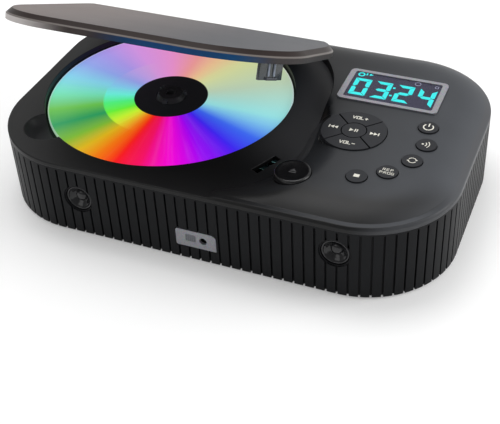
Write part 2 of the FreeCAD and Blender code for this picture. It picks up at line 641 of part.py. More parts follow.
def pickup():
    x = lens_x - c.carriage_length / 2
    low_y, high_y = disc_y - c.rod_spread - c.carriage_margin, disc_y + c.rod_spread + c.carriage_margin
    low_z = c.rod_height - c.carriage_margin
    body = box(x, low_y, low_z, c.carriage_length, high_y - low_y, c.carriage_height)
    lens_top = disc_under - c.lens_clearance
    holder_top = lens_top - c.lens_proud
    holder = rod(lens_x, disc_y, low_z + c.carriage_height, c.holder_radius,
                 holder_top - low_z - c.carriage_height)
    nut = box(lens_x - c.nut_width / 2, screw_y - c.carriage_margin, low_z, c.nut_width,
              low_y - screw_y + c.carriage_margin, c.carriage_height)
    bores = [rod(x, y, c.rod_height, c.rod_radius + c.running_gap, c.carriage_length, along_x)
             for y in (disc_y - c.rod_spread, disc_y + c.rod_spread)]
    bores.append(rod(x, screw_y, c.rod_height, c.screw_radius + c.screw_gap, c.carriage_length, along_x))
    seat = rod(lens_x, disc_y, lens_top - c.lens_thickness, c.lens_radius + c.running_gap, c.lens_thickness)
    piece("optical_pickup", cut(fuse(body, holder, nut), seat, *bores))
    piece("pickup_lens", rod(lens_x, disc_y, lens_top - c.lens_thickness, c.lens_radius, c.lens_thickness))


def display():
    bezel = slab(display_x, display_x + c.bezel_length, display_y, display_y + c.bezel_width,
                 [c.bezel_radius] * 4, panel_top, c.bezel_height)
    gap = c.glass_gap
    opening = slab(glass_x - gap, glass_x + c.glass_length + gap, glass_y - gap,
                   glass_y + c.glass_width + gap, [c.glass_radius] * 4, panel_top, c.bezel_height)
    piece("display_bezel", cut(bezel, opening))
    glass_bottom = panel_top + c.bezel_height - c.glass_sink - c.glass_thickness
    piece("display_window", slab(glass_x, glass_x + c.glass_length, glass_y, glass_y + c.glass_width,
                                 [c.glass_radius] * 4, glass_bottom, c.glass_thickness))
    piece("display_module", box(glass_x, glass_y, board_top, c.glass_length, c.glass_width,
                                glass_bottom - board_top))


def control_board():
    gap = c.board_gap
    low, high = c.cavity_end_margin - depth_half + gap, depth_half - c.cavity_end_margin - gap
    far_east = case_half - c.cavity_margin - gap
    big, little = c.cavity_radius - gap, c.cavity_radius_west
    board = slab(cavity_west + gap, far_east, low, high, [little, big, big, little],
                 board_top - c.board_thickness, c.board_thickness)
    piece("control_board", cut(board, rod(open_x, open_y, board_top - c.board_thickness, c.board_hole,
                                          c.board_thickness)))
    mat = slab(cavity_west + gap, far_east, low, display_y - c.mat_margin,
               [little, big, c.mat_radius, c.mat_radius], board_top, c.mat_thickness)
    domes = [rod(pad_x, pad_y, mat_top, c.dome_radius, c.dome_height)]
    for turn in range(4):
        angle = size(turn * 90)
        reach = (c.pad_radius + c.play_radius) / 2
        domes.append(rod(pad_x + reach * cos_of(angle), pad_y + reach * sin_of(angle), mat_top,
                         c.dome_radius, c.dome_height))
    for angle in key_angles:
        x, y = small_key_place(angle)
        domes.append(rod(x, y, mat_top, c.dome_radius, c.dome_height))
    hole = rod(open_x, open_y, board_top, c.board_hole, c.mat_thickness)
    piece("key_mat", fuse(cut(mat, hole), *domes))


def keys():
    key_top = panel_top + c.key_rise
    piece("play_key", rod(pad_x, pad_y, key_bottom, c.play_radius, key_top - key_bottom))
    inner = c.play_radius + c.ring_gap
    for name, heading in (("next_key", 0), ("volume_up_key", 90), ("previous_key", 180),
                          ("volume_down_key", 270)):
        angle = size(heading)
        x = pad_x + c.ring_gap * cos_of(angle)
        y = pad_y + c.ring_gap * sin_of(angle)
        quarter = rod(x, y, key_bottom, c.pad_radius + c.key_flange, key_top - key_bottom,
                      deg(FreeCAD.Vector(0, 0, 1), heading - 45))
        quarter.Angle = 90
        ring = cut(fuse(rod(pad_x, pad_y, key_bottom, c.pad_radius, key_top - key_bottom),
                        rod(pad_x, pad_y, key_bottom, c.pad_radius + c.key_flange, c.key_flange_height)),
                   rod(pad_x, pad_y, key_bottom, inner, key_top - key_bottom))
        piece(name, common(quarter, ring))
    for name, angle in zip(small_keys, key_angles):
        x, y = small_key_place(angle)
        cap = rod(x, y, key_bottom, c.small_key_radius, key_top - key_bottom)
        flange = rod(x, y, key_bottom, c.small_key_radius + c.key_flange, c.key_flange_height)
        piece(name, fuse(cap, flange))


def open_button():
    top = panel_top + c.open_rise
    cap = rod(open_x, open_y, key_bottom, c.open_radius, top - key_bottom)
    stem = rod(open_x, open_y, key_bottom - c.stem_length, c.stem_radius, c.stem_length)
    piece("open_button", fuse(cap, stem))
    bottom = cover_bottom + c.spring_seat
    wire = c.spring_wire.number
    height = key_bottom.number - bottom.number - wire
    turns, radius = c.spring_turns.number, c.spring_radius.number
    helix = Part.makeHelix(height / turns, height, radius)
    profile = Part.Wire(Part.makeCircle(wire / 2, FreeCAD.Vector(radius, 0, 0), FreeCAD.Vector(0, 1, 0)))
    spring = doc.addObject("Part::Feature", "spring")
    spring.Shape = Part.Wire(helix.Edges).makePipeShell([profile], True, True)
    place = FreeCAD.Vector(round(open_x.number, 1), round(open_y.number, 1), bottom.number + wire / 2)
    spring.Placement = FreeCAD.Placement(place, deg())
    piece("open_spring", spring)
    start = hook_radius + c.hook_thickness + c.hook_nib + c.latch_gap
    low = cover_bottom - c.latch_gap - c.latch_thickness
    slider = corner_block(start, start + c.latch_run, c.latch_width, low, c.latch_thickness)
    window = rod(open_x, open_y, low, c.latch_window, c.latch_thickness)
    piece("latch_slider", cut(slider, window))


def lift(item):
    """Raises a sub-part of the lid, made shut, to the angle at which the lid stands open."""
    turn = deg(FreeCAD.Vector(1, 0, 0), -c.lid_open_angle.number)
    hinge = FreeCAD.Vector(0, hinge_y.number, hinge_z.number)
    item.Placement = FreeCAD.Placement(FreeCAD.Vector(), turn, hinge).multiply(item.Placement)
    return item


def lid():
    body = new_body("lid")
    plate = pad(body, rounded_sketch(body, lid_west, lid_east, lid_south, lid_north, lid_radii, lid_bottom),
                c.lid_thickness)
    doc.recompute()
    rim = ["Edge%d" % number for number, edge in enumerate(plate.Shape.Edges, start=1)
           if edge.BoundBox.ZMin > lid_top.number - tolerance
           and edge.BoundBox.YMin < lid_north.number - tolerance]
    bevel = body.newObject("PartDesign::Chamfer", "bevel")
    bevel.Base = (plate, rim)
    bind(bevel, Size=c.lid_bevel)
    fall = doc.addObject("Part::Wedge", "fall")
    west, far_east, above = lid_west - c.past, lid_east + c.past, lid_top + c.past
    bind(fall, Xmin=west, Xmax=far_east, X2min=west, X2max=far_east,
         Ymin=lid_north - c.lid_fall_run, Ymax=lid_north, Zmin=lid_top, Zmax=above,
         Z2min=lid_top - c.lid_fall_drop, Z2max=above)
    wall = c.lid_wall
    hollow = slab(lid_west + wall, lid_east - wall, lid_south + wall, lid_north - c.lid_solid_run,
                  [radius - wall for radius in lid_radii],
                  lid_bottom, c.lid_thickness - wall)
    notches = []
    notch_y = hinge_y - c.barrel_radius - c.latch_gap
    arm_y = notch_y - c.arm_length
    for x in hinge_x:
        reach = ear_reach() + c.hinge_side_gap
        notches.append(box(x - reach, notch_y, lid_bottom, 2 * reach, lid_north - notch_y, c.lid_thickness))
        half = c.barrel_length / 2 + c.running_gap
        notches.append(box(x - half, arm_y, lid_bottom, 2 * half, c.arm_length,
                           c.arm_thickness + c.running_gap))
    piece("lid_shell", lift(cut(body, fall, hollow, *notches)))
    for name, x in zip(("left", "right"), hinge_x):
        half = c.barrel_length / 2
        arm = box(x - half, arm_y + c.running_gap, lid_bottom, c.barrel_length, hinge_y - arm_y,
                  c.arm_thickness)
        barrel = rod(x - half, hinge_y, hinge_z, c.barrel_radius, c.barrel_length, along_x)
        bore = rod(x - half, hinge_y, hinge_z, c.pin_radius + c.running_gap, c.barrel_length, along_x)
        piece("hinge_arm_" + name, lift(cut(fuse(arm, barrel), bore)))
        piece("hinge_pin_" + name, rod(x - ear_reach(), hinge_y, hinge_z, c.pin_radius, 2 * ear_reach(),
                                       along_x))
    low = lid_bottom - c.hook_drop
    hook = corner_block(hook_radius, hook_radius + c.hook_thickness, c.hook_width, low,
                        c.hook_drop + c.lid_thickness - wall)
    nib = corner_block(hook_radius + c.hook_thickness, hook_radius + c.hook_thickness + c.hook_nib,
                       c.hook_width / 2, low, c.hook_nib_height)
    piece("latch_hook", lift(fuse(hook, nib)))


def speaker(name, x, z):
    face = front + c.speaker_sink
    inner_wall = front + c.wall
    collar = rod(x, face, z, c.port_radius - c.port_gap, c.wall - c.speaker_sink, along_y)
    flange = rod(x, inner_wall, z, c.speaker_flange, c.speaker_flange_thickness, along_y)
    back = inner_wall + c.speaker_flange_thickness
    basket = taper(x, back, z, c.port_radius, c.basket_throat, c.speaker_depth, along_y)
    bore_radius = c.port_radius - c.port_gap - c.speaker_ring
    bore = rod(x, face, z, bore_radius, back - face, along_y)
    throat = taper(x, back, z, bore_radius, c.cone_throat, c.speaker_depth, along_y)
    piece("speaker_frame_" + name, cut(fuse(collar, flange, basket), bore, throat))
    piece("speaker_magnet_" + name, rod(x, back + c.speaker_depth, z, c.magnet_radius, c.magnet_depth,
                                        along_y))
    mouth = face + c.cone_sink
    rim = bore_radius - c.running_gap
    outside = taper(x, mouth, z, rim, c.cone_throat, c.cone_depth, along_y)
    inside = taper(x, mouth, z, rim - c.cone_skin, c.cone_throat - c.cone_skin,
                   c.cone_depth - c.cone_skin, along_y)
    cap = taper(x, mouth + c.cone_depth - c.cap_height - c.cone_skin, z, c.cap_tip_radius, c.cap_radius,
                c.cap_height, along_y)
    piece("speaker_cone_" + name, common(fuse(cut(outside, inside), cap), outside))


def front_plate():
    plate = box(c.plate_west, front, c.plate_bottom, c.plate_length, c.plate_thickness, c.plate_height)
    hole = rod(c.jack_x, front, c.jack_z, c.jack_bore, c.plate_thickness, along_y)
    gap = c.ir_gap
    ir_hole = box(c.ir_x - c.ir_length / 2 - gap, front, c.ir_z - c.ir_height / 2 - gap,
                  c.ir_length + 2 * gap, c.plate_thickness, c.ir_height + 2 * gap)
    piece("front_plate", cut(plate, hole, ir_hole))
    piece("infrared_window", box(c.ir_x - c.ir_length / 2, front, c.ir_z - c.ir_height / 2,
                                 c.ir_length, c.ir_depth, c.ir_height))
    inner_wall = front + c.wall
    sleeve = rod(c.jack_x, jack_y, c.jack_z, c.jack_sleeve, inner_wall - jack_y, along_y)
    block = box(c.jack_x - c.jack_block / 2, inner_wall, c.jack_z - c.jack_block_height / 2,
                c.jack_block, c.jack_length + c.jack_end - c.wall, c.jack_block_height)
    bore = rod(c.jack_x, front, c.jack_z, c.jack_bore, c.jack_length, along_y)
    piece("headphone_jack", cut(fuse(sleeve, block), bore))


def rear_socket():
    x, z = c.usb_x - c.usb_length / 2, c.usb_z - c.usb_height / 2
    wall = c.usb_wall
    shell = box(x, depth_half - c.usb_depth, z, c.usb_length, c.usb_depth, c.usb_height)
    hollow = box(x + wall, depth_half - c.usb_depth + wall, z + wall, c.usb_length - 2 * wall, c.usb_depth,
                 c.usb_height - 2 * wall)
    margin = c.usb_tongue_margin
    tongue = box(x + margin, depth_half - c.usb_depth, c.usb_z - c.usb_tongue / 2,
                 c.usb_length - 2 * margin, c.usb_depth - margin, c.usb_tongue)
    piece("charging_socket", fuse(cut(shell, hollow), tongue))


def power_boards():
    board = box(main_west, main_south, c.main_height, c.main_length, c.main_width, c.board_thickness)
    piece("main_board", board)
    top = c.main_height + c.board_thickness
    chips = []
    for number in range(3):
        place = c.part_inset + number * c.part_pitch
        chips.append(box(main_west + place, main_south + place, top, c.chip_side, c.chip_side, c.chip_height))
        chips.append(rod(main_west + place, main_south + c.main_width - c.part_inset, top,
                         c.capacitor_radius, c.capacitor_height))
    group("board_parts", chips)
    bed = base_top + c.cell_gap + c.cell_radius
    piece("rechargeable_cell", rod(c.cell_west, c.cell_y, bed, c.cell_radius, c.cell_length, along_x))


for make in (ribbed_case, bottom_cover, feet, case_screws, top_cover, disc_well, disc_drive, deck, pickup,
             display, control_board, keys, open_button, lid, front_plate, rear_socket, power_boards):
    make()
for name, (x, z) in speakers.items():
    speaker(name, x, z)

doc.recompute()
for item in doc.Objects:
    if {"Invalid", "Error"} & set(item.State):
        raise RuntimeError("%s (%s) failed: %s" % (item.Label, item.Name, item.State))
for item in pieces:
    if item.Shape.isNull() or not item.Shape.isValid():
        raise RuntimeError("%s has no valid shape" % item.Label)
    item.Shape.exportStep("parts/%s.step" % item.Label)
    box_of = item.Shape.BoundBox
    print("%-22s solids %d volume %.1f  x %.1f..%.1f  y %.1f..%.1f  z %.1f..%.1f" % (
        item.Label, len(item.Shape.Solids), item.Shape.Volume, box_of.XMin, box_of.XMax,
        box_of.YMin, box_of.YMax, box_of.ZMin, box_of.ZMax))
print(len(pieces), "sub-parts")
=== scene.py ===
import json
import math

import bmesh
import bpy
import numpy as np
from mathutils import Matrix, Vector


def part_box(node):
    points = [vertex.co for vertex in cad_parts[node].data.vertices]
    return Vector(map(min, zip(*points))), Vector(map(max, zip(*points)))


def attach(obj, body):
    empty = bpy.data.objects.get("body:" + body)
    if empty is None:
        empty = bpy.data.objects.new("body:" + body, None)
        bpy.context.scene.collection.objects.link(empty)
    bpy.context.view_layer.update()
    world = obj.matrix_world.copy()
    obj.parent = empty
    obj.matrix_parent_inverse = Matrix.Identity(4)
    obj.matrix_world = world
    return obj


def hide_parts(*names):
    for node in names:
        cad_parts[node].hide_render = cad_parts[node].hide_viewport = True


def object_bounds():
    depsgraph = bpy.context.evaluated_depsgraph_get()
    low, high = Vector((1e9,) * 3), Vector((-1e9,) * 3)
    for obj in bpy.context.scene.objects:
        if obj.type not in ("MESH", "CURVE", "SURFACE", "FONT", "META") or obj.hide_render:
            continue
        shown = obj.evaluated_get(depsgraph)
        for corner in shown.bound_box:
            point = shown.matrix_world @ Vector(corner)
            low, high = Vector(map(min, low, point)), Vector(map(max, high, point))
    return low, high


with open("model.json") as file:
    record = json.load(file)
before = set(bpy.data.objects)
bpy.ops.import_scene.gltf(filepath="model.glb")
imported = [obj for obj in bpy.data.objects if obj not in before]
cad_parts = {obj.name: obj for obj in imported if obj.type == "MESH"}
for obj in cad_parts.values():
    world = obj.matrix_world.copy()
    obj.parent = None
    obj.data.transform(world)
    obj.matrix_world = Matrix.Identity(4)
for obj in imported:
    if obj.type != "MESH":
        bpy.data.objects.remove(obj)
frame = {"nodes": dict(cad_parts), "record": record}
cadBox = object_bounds()
nodes = frame["nodes"]
scene = bpy.context.scene
mm = 0.001


# camera, lamps and floor

cameraView = {
    "place": (0.1673, -0.3773, 0.3145),
    "turn": 23.696,  # degrees round the player from straight in front
    "rise": 37.624,
    "roll": -2.914,
    "lens": 75.44,
    "shift": (-0.0091, -0.0672),
}

studio = {
    "worldFade": (-0.75, 0.35), "worldLevels": (0.3, 0.72, 1.0),  # in front, behind, and as seen
    "lamps": {
        "overheadPanel": {"place": (-0.15, 0.2, 0.8), "size": (0.6, 0.45), "watts": 3.4},
        "rightPanel": {"place": (0.75, 0.2, 0.42), "size": (0.4, 0.6), "watts": 2.9},
        "frontPanel": {"place": (-0.35, -0.8, 0.6), "size": (0.6, 0.4), "watts": 0.9},
    },
    "floorHalf": 3.0, "floorGrid": 24, "floorWhite": 1.6,
    "floorGlow": 0.15,  # share of the floor's white that a shadow doesn't reach
}


def makeCamera(view):
    turn, rise, roll = (math.radians(view[key]) for key in ("turn", "rise", "roll"))
    back = Vector((math.sin(turn) * math.cos(rise), -math.cos(turn) * math.cos(rise), math.sin(rise)))
    right = (-back).cross(Vector((0, 0, 1))).normalized()
    up = right.cross(-back)
    side = math.cos(roll) * right + math.sin(roll) * up
    top = -math.sin(roll) * right + math.cos(roll) * up
    lens = bpy.data.cameras.new("playerCamera")
    lens.lens = view["lens"]
    lens.sensor_width = 36
    lens.shift_x, lens.shift_y = view["shift"]
    lens.clip_start = 0.01
    holder = bpy.data.objects.new("playerCamera", lens)
    scene.collection.objects.link(holder)
    facing = Matrix((side, top, back)).transposed().to_4x4()
    holder.matrix_world = Matrix.Translation(view["place"]) @ facing
    scene.camera = holder


def makeLamp(name, lamp, target=(0, 0, 0.03)):
    light = bpy.data.lights.new(name, "AREA")
    light.shape = "RECTANGLE"
    light.size, light.size_y = lamp["size"]
    light.energy = lamp["watts"]
    holder = bpy.data.objects.new(name, light)
    scene.collection.objects.link(holder)
    holder.location = lamp["place"]
    aim = Vector(target) - Vector(lamp["place"])
    holder.rotation_euler = aim.to_track_quat("-Z", "Y").to_euler()


makeCamera(cameraView)
for lampName, lampFacts in studio["lamps"].items():
    makeLamp(lampName, lampFacts)
scene.view_settings.view_transform = "Standard"
print("camera and lamps are in place")


# finishes: a small kit for node materials

def tone(red, green, blue):
    # screen values from 0 to 255 become the linear colour that a shader takes
    def linear(value):
        share = value / 255
        return share / 12.92 if share <= 0.04045 else ((share + 0.055) / 1.055) ** 2.4
    return (linear(red), linear(green), linear(blue), 1.0)


def dimmed(colour, gain, lift=0.0):
    return tuple(min(1, part * gain + lift) for part in colour[:3]) + (1,)


class Signal:
    # one socket of a finish; arithmetic on it adds Math nodes
    def __init__(self, finish, socket):
        self.finish = finish
        self.socket = socket

    def maths(self, operation, *values):
        return self.finish.add("ShaderNodeMath", {"operation": operation}, dict(enumerate(values)))

    def __add__(self, other):
        return self.maths("ADD", self, other)

    def __radd__(self, other):
        return self.maths("ADD", other, self)

    def __sub__(self, other):
        return self.maths("SUBTRACT", self, other)

    def __rsub__(self, other):
        return self.maths("SUBTRACT", other, self)

    def __mul__(self, other):
        return self.maths("MULTIPLY", self, other)

    def __rmul__(self, other):
        return self.maths("MULTIPLY", other, self)

    def __truediv__(self, other):
        return self.maths("DIVIDE", self, other)

    def __pow__(self, other):
        return self.maths("POWER", self, other)

    def below(self, level):
        return self.maths("LESS_THAN", self, level)

    def above(self, level):
        return self.maths("GREATER_THAN", self, level)

    def most(self, other):
        return self.maths("MAXIMUM", self, other)

    def clipped(self):
        return self.finish.add("ShaderNodeClamp", {}, {"Value": self})

    def eased(self, start, end):
        # 0 at start, 1 at end, smooth between
        values = {"Value": self, "From Min": start, "From Max": end}
        return self.finish.add("ShaderNodeMapRange", {"interpolation_type": "SMOOTHSTEP"}, values)


class Finish:
    # one node material; the world is mixed with it too
    def __init__(self, name, world=False):
        self.material = (bpy.data.worlds if world else bpy.data.materials).new(name)
        self.material.use_nodes = True
        self.tree = self.material.node_tree
        self.tree.nodes.clear()
        self.end = self.tree.nodes.new("ShaderNodeOutputWorld" if world else "ShaderNodeOutputMaterial")

    def add(self, kind, settings=None, values=None, output=0):
        made = self.tree.nodes.new(kind)
        for key, value in (settings or {}).items():
            if key == "stops":
                self.setStops(made.color_ramp, value)
            else:
                setattr(made, key, value)
        for key, value in (values or {}).items():
            if isinstance(value, Signal):
                self.tree.links.new(value.socket, made.inputs[key])
            else:
                made.inputs[key].default_value = value
        return Signal(self, made.outputs[output])

    def setStops(self, ramp, stops):
        while len(ramp.elements) > 1:
            ramp.elements.remove(ramp.elements[-1])
        ramp.elements[0].position, ramp.elements[0].color = stops[0]
        for place, colour in stops[1:]:
            ramp.elements.new(place).color = colour

    def place(self):
        return self.add("ShaderNodeTexCoord", output="Object")

    def axes(self, place):
        split = self.add("ShaderNodeSeparateXYZ", {}, {0: place}).socket.node
        return [Signal(self, socket) for socket in split.outputs]

    def noise(self, place, scale, detail=2.0, roughness=0.5):
        values = {"Vector": place, "Scale": scale, "Detail": detail, "Roughness": roughness}
        return self.add("ShaderNodeTexNoise", {}, values)

    def mix(self, share, first, second):
        values = {0: share, 6: first, 7: second}
        return self.add("ShaderNodeMix", {"data_type": "RGBA"}, values, 2)

    def softEdge(self, radius):
        return self.add("ShaderNodeBevel", {"samples": 6}, {"Radius": radius})

    def edgeMask(self, radius):
        # 0 on flat faces and towards 1 on edges
        flat = self.add("ShaderNodeNewGeometry", output="Normal")
        facing = self.add("ShaderNodeVectorMath", {"operation": "DOT_PRODUCT"},
                          {0: self.softEdge(radius), 1: flat}, "Value")
        return ((1 - facing) * 6).clipped()

    def bump(self, height, depth, strength=1.0, normal=None):
        values = {"Height": height, "Distance": depth, "Strength": strength}
        if normal:
            values["Normal"] = normal
        return self.add("ShaderNodeBump", {}, values)

    def close(self, shader):
        self.tree.links.new(shader.socket, self.end.inputs["Surface"])
        return self

    def surface(self, values):
        return self.close(self.add("ShaderNodeBsdfPrincipled", {}, values))


def mouldedPlastic(name, colour, roughness, grain=0.02, wear=0.35, edge=0.35, specular=0.1):
    # spark-eroded plastic: fine grain, slow mottling, paler polished edges; grain and edge in mm
    paint = Finish(name)
    place = paint.place()
    patches = paint.noise(place, 55, 3)
    spark = paint.noise(place, 2400, 2, 0.6)
    shade = paint.mix(patches, dimmed(colour, 0.88), dimmed(colour, 1.12))
    shade = paint.mix(paint.edgeMask(edge * mm) * wear, shade, dimmed(colour, 1.6, 0.006))
    rough = patches * 0.08 + spark * 0.06 + (roughness - 0.07)
    normal = paint.bump(spark, grain * mm, 0.5, paint.softEdge(edge * mm))
    return paint.surface({"Base Color": shade, "Roughness": rough, "Normal": normal,
                          "Specular IOR Level": specular})


coverTones = {
    "fade": (8 * mm, 116 * mm),  # painted light: from the dark tone to the pale one, left to right, lighter towards the right-hand lamp
    "mottle": tone(20, 20, 21),
    # painted light: the tray floor right of the disc is made paler where the lid's shadow falls
    "tray": tone(64, 64, 66), "trayLightFade": (-5 * mm, 28 * mm), "trayLightDepth": (-45 * mm, -10 * mm),
    "trayLightTop": 39.5 * mm,
    # painted shade: the front tone darkens slopes that face forwards
    "front": tone(9, 9, 10), "edge": tone(70, 71, 73),
    # painted light: the side tone makes right-facing surfaces paler towards the right
    "side": tone(88, 90, 94), "sideLightFade": (50 * mm, 80 * mm),
}


def coverPaint(name, dark, pale, facts):
    # satin skin with painted light and shade: paler and cooler to the right, paler on right-facing sides and
    # on the tray floor in the lid's shadow, darker on slopes that face forwards
    paint = Finish(name)
    place = paint.place()
    x, y, height = paint.axes(place)
    patches = paint.noise(place, 55, 3)
    spark = paint.noise(place, 2400, 2, 0.6)
    # painted light: paler towards the right
    shade = paint.mix(x.eased(*facts["fade"]), dark, pale)
    shade = paint.mix(patches * 0.25, shade, facts["mottle"])
    # painted light on the tray floor in the lid's shadow
    paintedTrayLight = x.eased(*facts["trayLightFade"]) * y.eased(*facts["trayLightDepth"]) * height.below(facts["trayLightTop"])
    shade = paint.mix(paintedTrayLight, shade, facts["tray"])
    sideways, backwards = paint.axes(paint.add("ShaderNodeTexCoord", output="Normal"))[:2]
    # painted shade on slopes that face forwards
    shade = paint.mix((0 - backwards).eased(0.0, 0.22) * 0.95, shade, facts["front"])
    # painted light on surfaces that face right
    paintedSideLight = sideways.eased(0.05, 0.5) * x.eased(*facts["sideLightFade"])
    shade = paint.mix(paintedSideLight * 0.5, shade, facts["side"])
    shade = paint.mix(paint.edgeMask(0.5 * mm) * 0.2, shade, facts["edge"])
    rough = patches * 0.08 + spark * 0.06 + 0.36
    normal = paint.bump(spark, 0.012 * mm, 0.5, paint.softEdge(0.5 * mm))
    return paint.surface({"Base Color": shade, "Roughness": rough, "Normal": normal,
                          "Specular IOR Level": 0.26})


def rubber(name, colour, roughness=0.75):
    paint = Finish(name)
    place = paint.place()
    bloom = paint.noise(place, 180, 4, 0.65)
    grain = paint.noise(place, 1500, 3, 0.7)
    shade = paint.mix(bloom.eased(0.45, 0.75) * 0.6, colour, dimmed(colour, 1.5, 0.004))
    normal = paint.bump(grain, 0.04 * mm, 0.6, paint.softEdge(0.2 * mm))
    return paint.surface({"Base Color": shade, "Roughness": roughness + bloom * 0.1, "Normal": normal})


def metal(name, colour, roughness, brushed=(1, 1, 1)):
    # brushed is the stretch of the grain along each axis
    paint = Finish(name)
    place = paint.place()
    stretched = paint.add("ShaderNodeMapping", {}, {"Vector": place, "Scale": brushed})
    streaks = paint.noise(stretched, 1400, 3, 0.6)
    tarnish = paint.noise(place, 140, 3)
    shade = paint.mix(tarnish * 0.5 + streaks * 0.3, colour, dimmed(colour, 0.8))
    normal = paint.bump(streaks, 0.008 * mm, 0.4, paint.softEdge(0.15 * mm))
    return paint.surface({"Base Color": shade, "Metallic": 1.0, "Roughness": roughness + streaks * 0.12,
                          "Normal": normal})


finishes = {
    "case_plastic": mouldedPlastic("casePlastic", tone(22, 23, 25), 0.42),
    "base_plastic": mouldedPlastic("basePlastic", tone(34, 34, 36), 0.6, 0.04),
    "cover_plastic": coverPaint("coverPlastic", tone(19, 19, 20), tone(66, 69, 74), coverTones),
    "well_plastic": mouldedPlastic("wellPlastic", tone(30, 30, 31), 0.4),
    "hub_plastic": mouldedPlastic("hubPlastic", tone(52, 52, 55), 0.3, 0.006),
    "claw_plastic": mouldedPlastic("clawPlastic", tone(72, 75, 80), 0.25, 0.004),
    "motor_steel": metal("motorSteel", tone(176, 178, 182), 0.3, (1, 1, 12)),
    "chassis_plastic": mouldedPlastic("chassisPlastic", tone(52, 52, 55), 0.5),
    "damper_rubber": rubber("damperRubber", tone(34, 34, 36)),
    "rod_steel": metal("rodSteel", tone(205, 207, 210), 0.16, (0.1, 6, 6)),
    "pickup_plastic": mouldedPlastic("pickupPlastic", tone(30, 31, 34), 0.4),
    "module_plastic": mouldedPlastic("modulePlastic", tone(58, 58, 84), 0.5, 0.006),
    "mat_rubber": rubber("matRubber", tone(150, 150, 146), 0.55),
    "latch_plastic": mouldedPlastic("latchPlastic", tone(30, 30, 32), 0.4),
    "arm_plastic": mouldedPlastic("armPlastic", tone(24, 24, 26), 0.4),
    "pin_steel": metal("pinSteel", tone(190, 192, 196), 0.2, (0.2, 6, 6)),
    "spring_steel": metal("springSteel", tone(196, 198, 202), 0.22),
    "screw_steel": metal("screwSteel", tone(88, 88, 92), 0.32),
    "socket_steel": metal("socketSteel", tone(182, 184, 188), 0.24, (6, 0.4, 6)),
    "magnet_steel": metal("magnetSteel", tone(150, 152, 156), 0.34, (1, 1, 10)),
    "foot_rubber": rubber("footRubber", tone(30, 30, 32)),
    "speaker_frame_plastic": mouldedPlastic("speakerFramePlastic", tone(14, 14, 17), 0.22, 0.004),
    "jack_plastic": mouldedPlastic("jackPlastic", tone(18, 18, 20), 0.35),
    "component_plastic": mouldedPlastic("componentPlastic", tone(40, 42, 46), 0.45),
    "key_plastic": mouldedPlastic("keyPlastic", tone(46, 47, 50), 0.42, 0.012, 0.35, 0.2),
    "button_plastic": mouldedPlastic("buttonPlastic", tone(11, 11, 13), 0.24, 0.004, 0.9, 0.5, 0.45),
}


def paintedSilver(name):
    # metallic paint: fine flakes under a thin clear coat
    paint = Finish(name)
    place = paint.place()
    flakes = paint.add("ShaderNodeTexVoronoi", {}, {"Vector": place, "Scale": 4200.0}, "Color")
    patches = paint.noise(place, 70, 3)
    grey = paint.mix(patches, tone(122, 122, 131), tone(138, 138, 146))
    shade = paint.mix(0.16, grey, flakes)
    normal = paint.bump(patches, 0.02 * mm, 0.3, paint.softEdge(0.25 * mm))
    return paint.surface({"Base Color": shade, "Metallic": 0.45, "Roughness": 0.38 + patches * 0.08,
                          "Normal": normal, "Coat Weight": 0.2, "Coat Roughness": 0.2})


def cellSleeve(name):
    paint = Finish(name)
    place = paint.place()
    along = paint.axes(place)[0]
    shrink = paint.noise(place, 260, 3)
    ends = along.below(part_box("rechargeable_cell")[0].x + 3 * mm)
    shade = paint.mix(shrink, tone(30, 78, 128), tone(38, 92, 146))
    shade = paint.mix(ends, shade, tone(196, 196, 200))
    normal = paint.bump(shrink, 0.06 * mm, 0.4)
    return paint.surface({"Base Color": shade, "Roughness": 0.35 + shrink * 0.1, "Metallic": ends,
                          "Normal": normal})


def boardLaminate(name):
    # green solder mask over copper tracks
    paint = Finish(name)
    place = paint.place()
    x = paint.axes(place)[0]
    weave = paint.noise(place, 900, 2)
    tracks = (x * 1900).maths("SINE", x * 1900 + paint.noise(place, 60, 2) * 9).above(0.82)
    shade = paint.mix(weave, tone(16, 70, 44), tone(22, 86, 54))
    shade = paint.mix(tracks * 0.7, shade, tone(64, 132, 78))
    normal = paint.bump(tracks, 0.03 * mm, 0.5)
    return paint.surface({"Base Color": shade, "Roughness": 0.32 + weave * 0.1, "Normal": normal})


def coneFilm(name):
    paint = Finish(name)
    place = paint.place()
    dust = paint.noise(place, 600, 3)
    shade = paint.mix(dust, tone(16, 16, 18), tone(28, 28, 31))
    normal = paint.bump(dust, 0.02 * mm, 0.5)
    return paint.surface({"Base Color": shade, "Roughness": 0.16 + dust * 0.08, "Normal": normal,
                          "Coat Weight": 0.25, "Coat Roughness": 0.06,
                          "Specular IOR Level": 0.3})


def darkGlass(name, colour, alpha=1.0, roughness=0.06):
    paint = Finish(name)
    place = paint.place()
    haze = paint.noise(place, 120, 3)
    shade = paint.mix(haze, dimmed(colour, 0.8), colour)
    return paint.surface({"Base Color": shade, "Roughness": roughness + haze * 0.05,
                          "Alpha": alpha, "Coat Weight": 0.5, "Coat Roughness": 0.04,
                          "Normal": paint.softEdge(0.15 * mm)})


def hatchedGlass(name, colour, line, pitch=0.92 * mm):
    # a window printed with a fine square grid
    paint = Finish(name)
    place = paint.place()
    across, _, height = paint.axes(place)
    upright, level = [axis.maths("SINE", axis * (2 * math.pi / pitch)).above(0.55)
                      for axis in (across, height)]
    haze = paint.noise(place, 200, 2)
    shade = paint.mix(upright.most(level), colour, line)
    return paint.surface({"Base Color": shade, "Roughness": 0.25 + haze * 0.05,
                          "Specular IOR Level": 0.3})


lidHinge = {"rise": 26.6, "y": 65.1 * mm, "z": 38.4 * mm}  # the lid's shown opening, and its pins

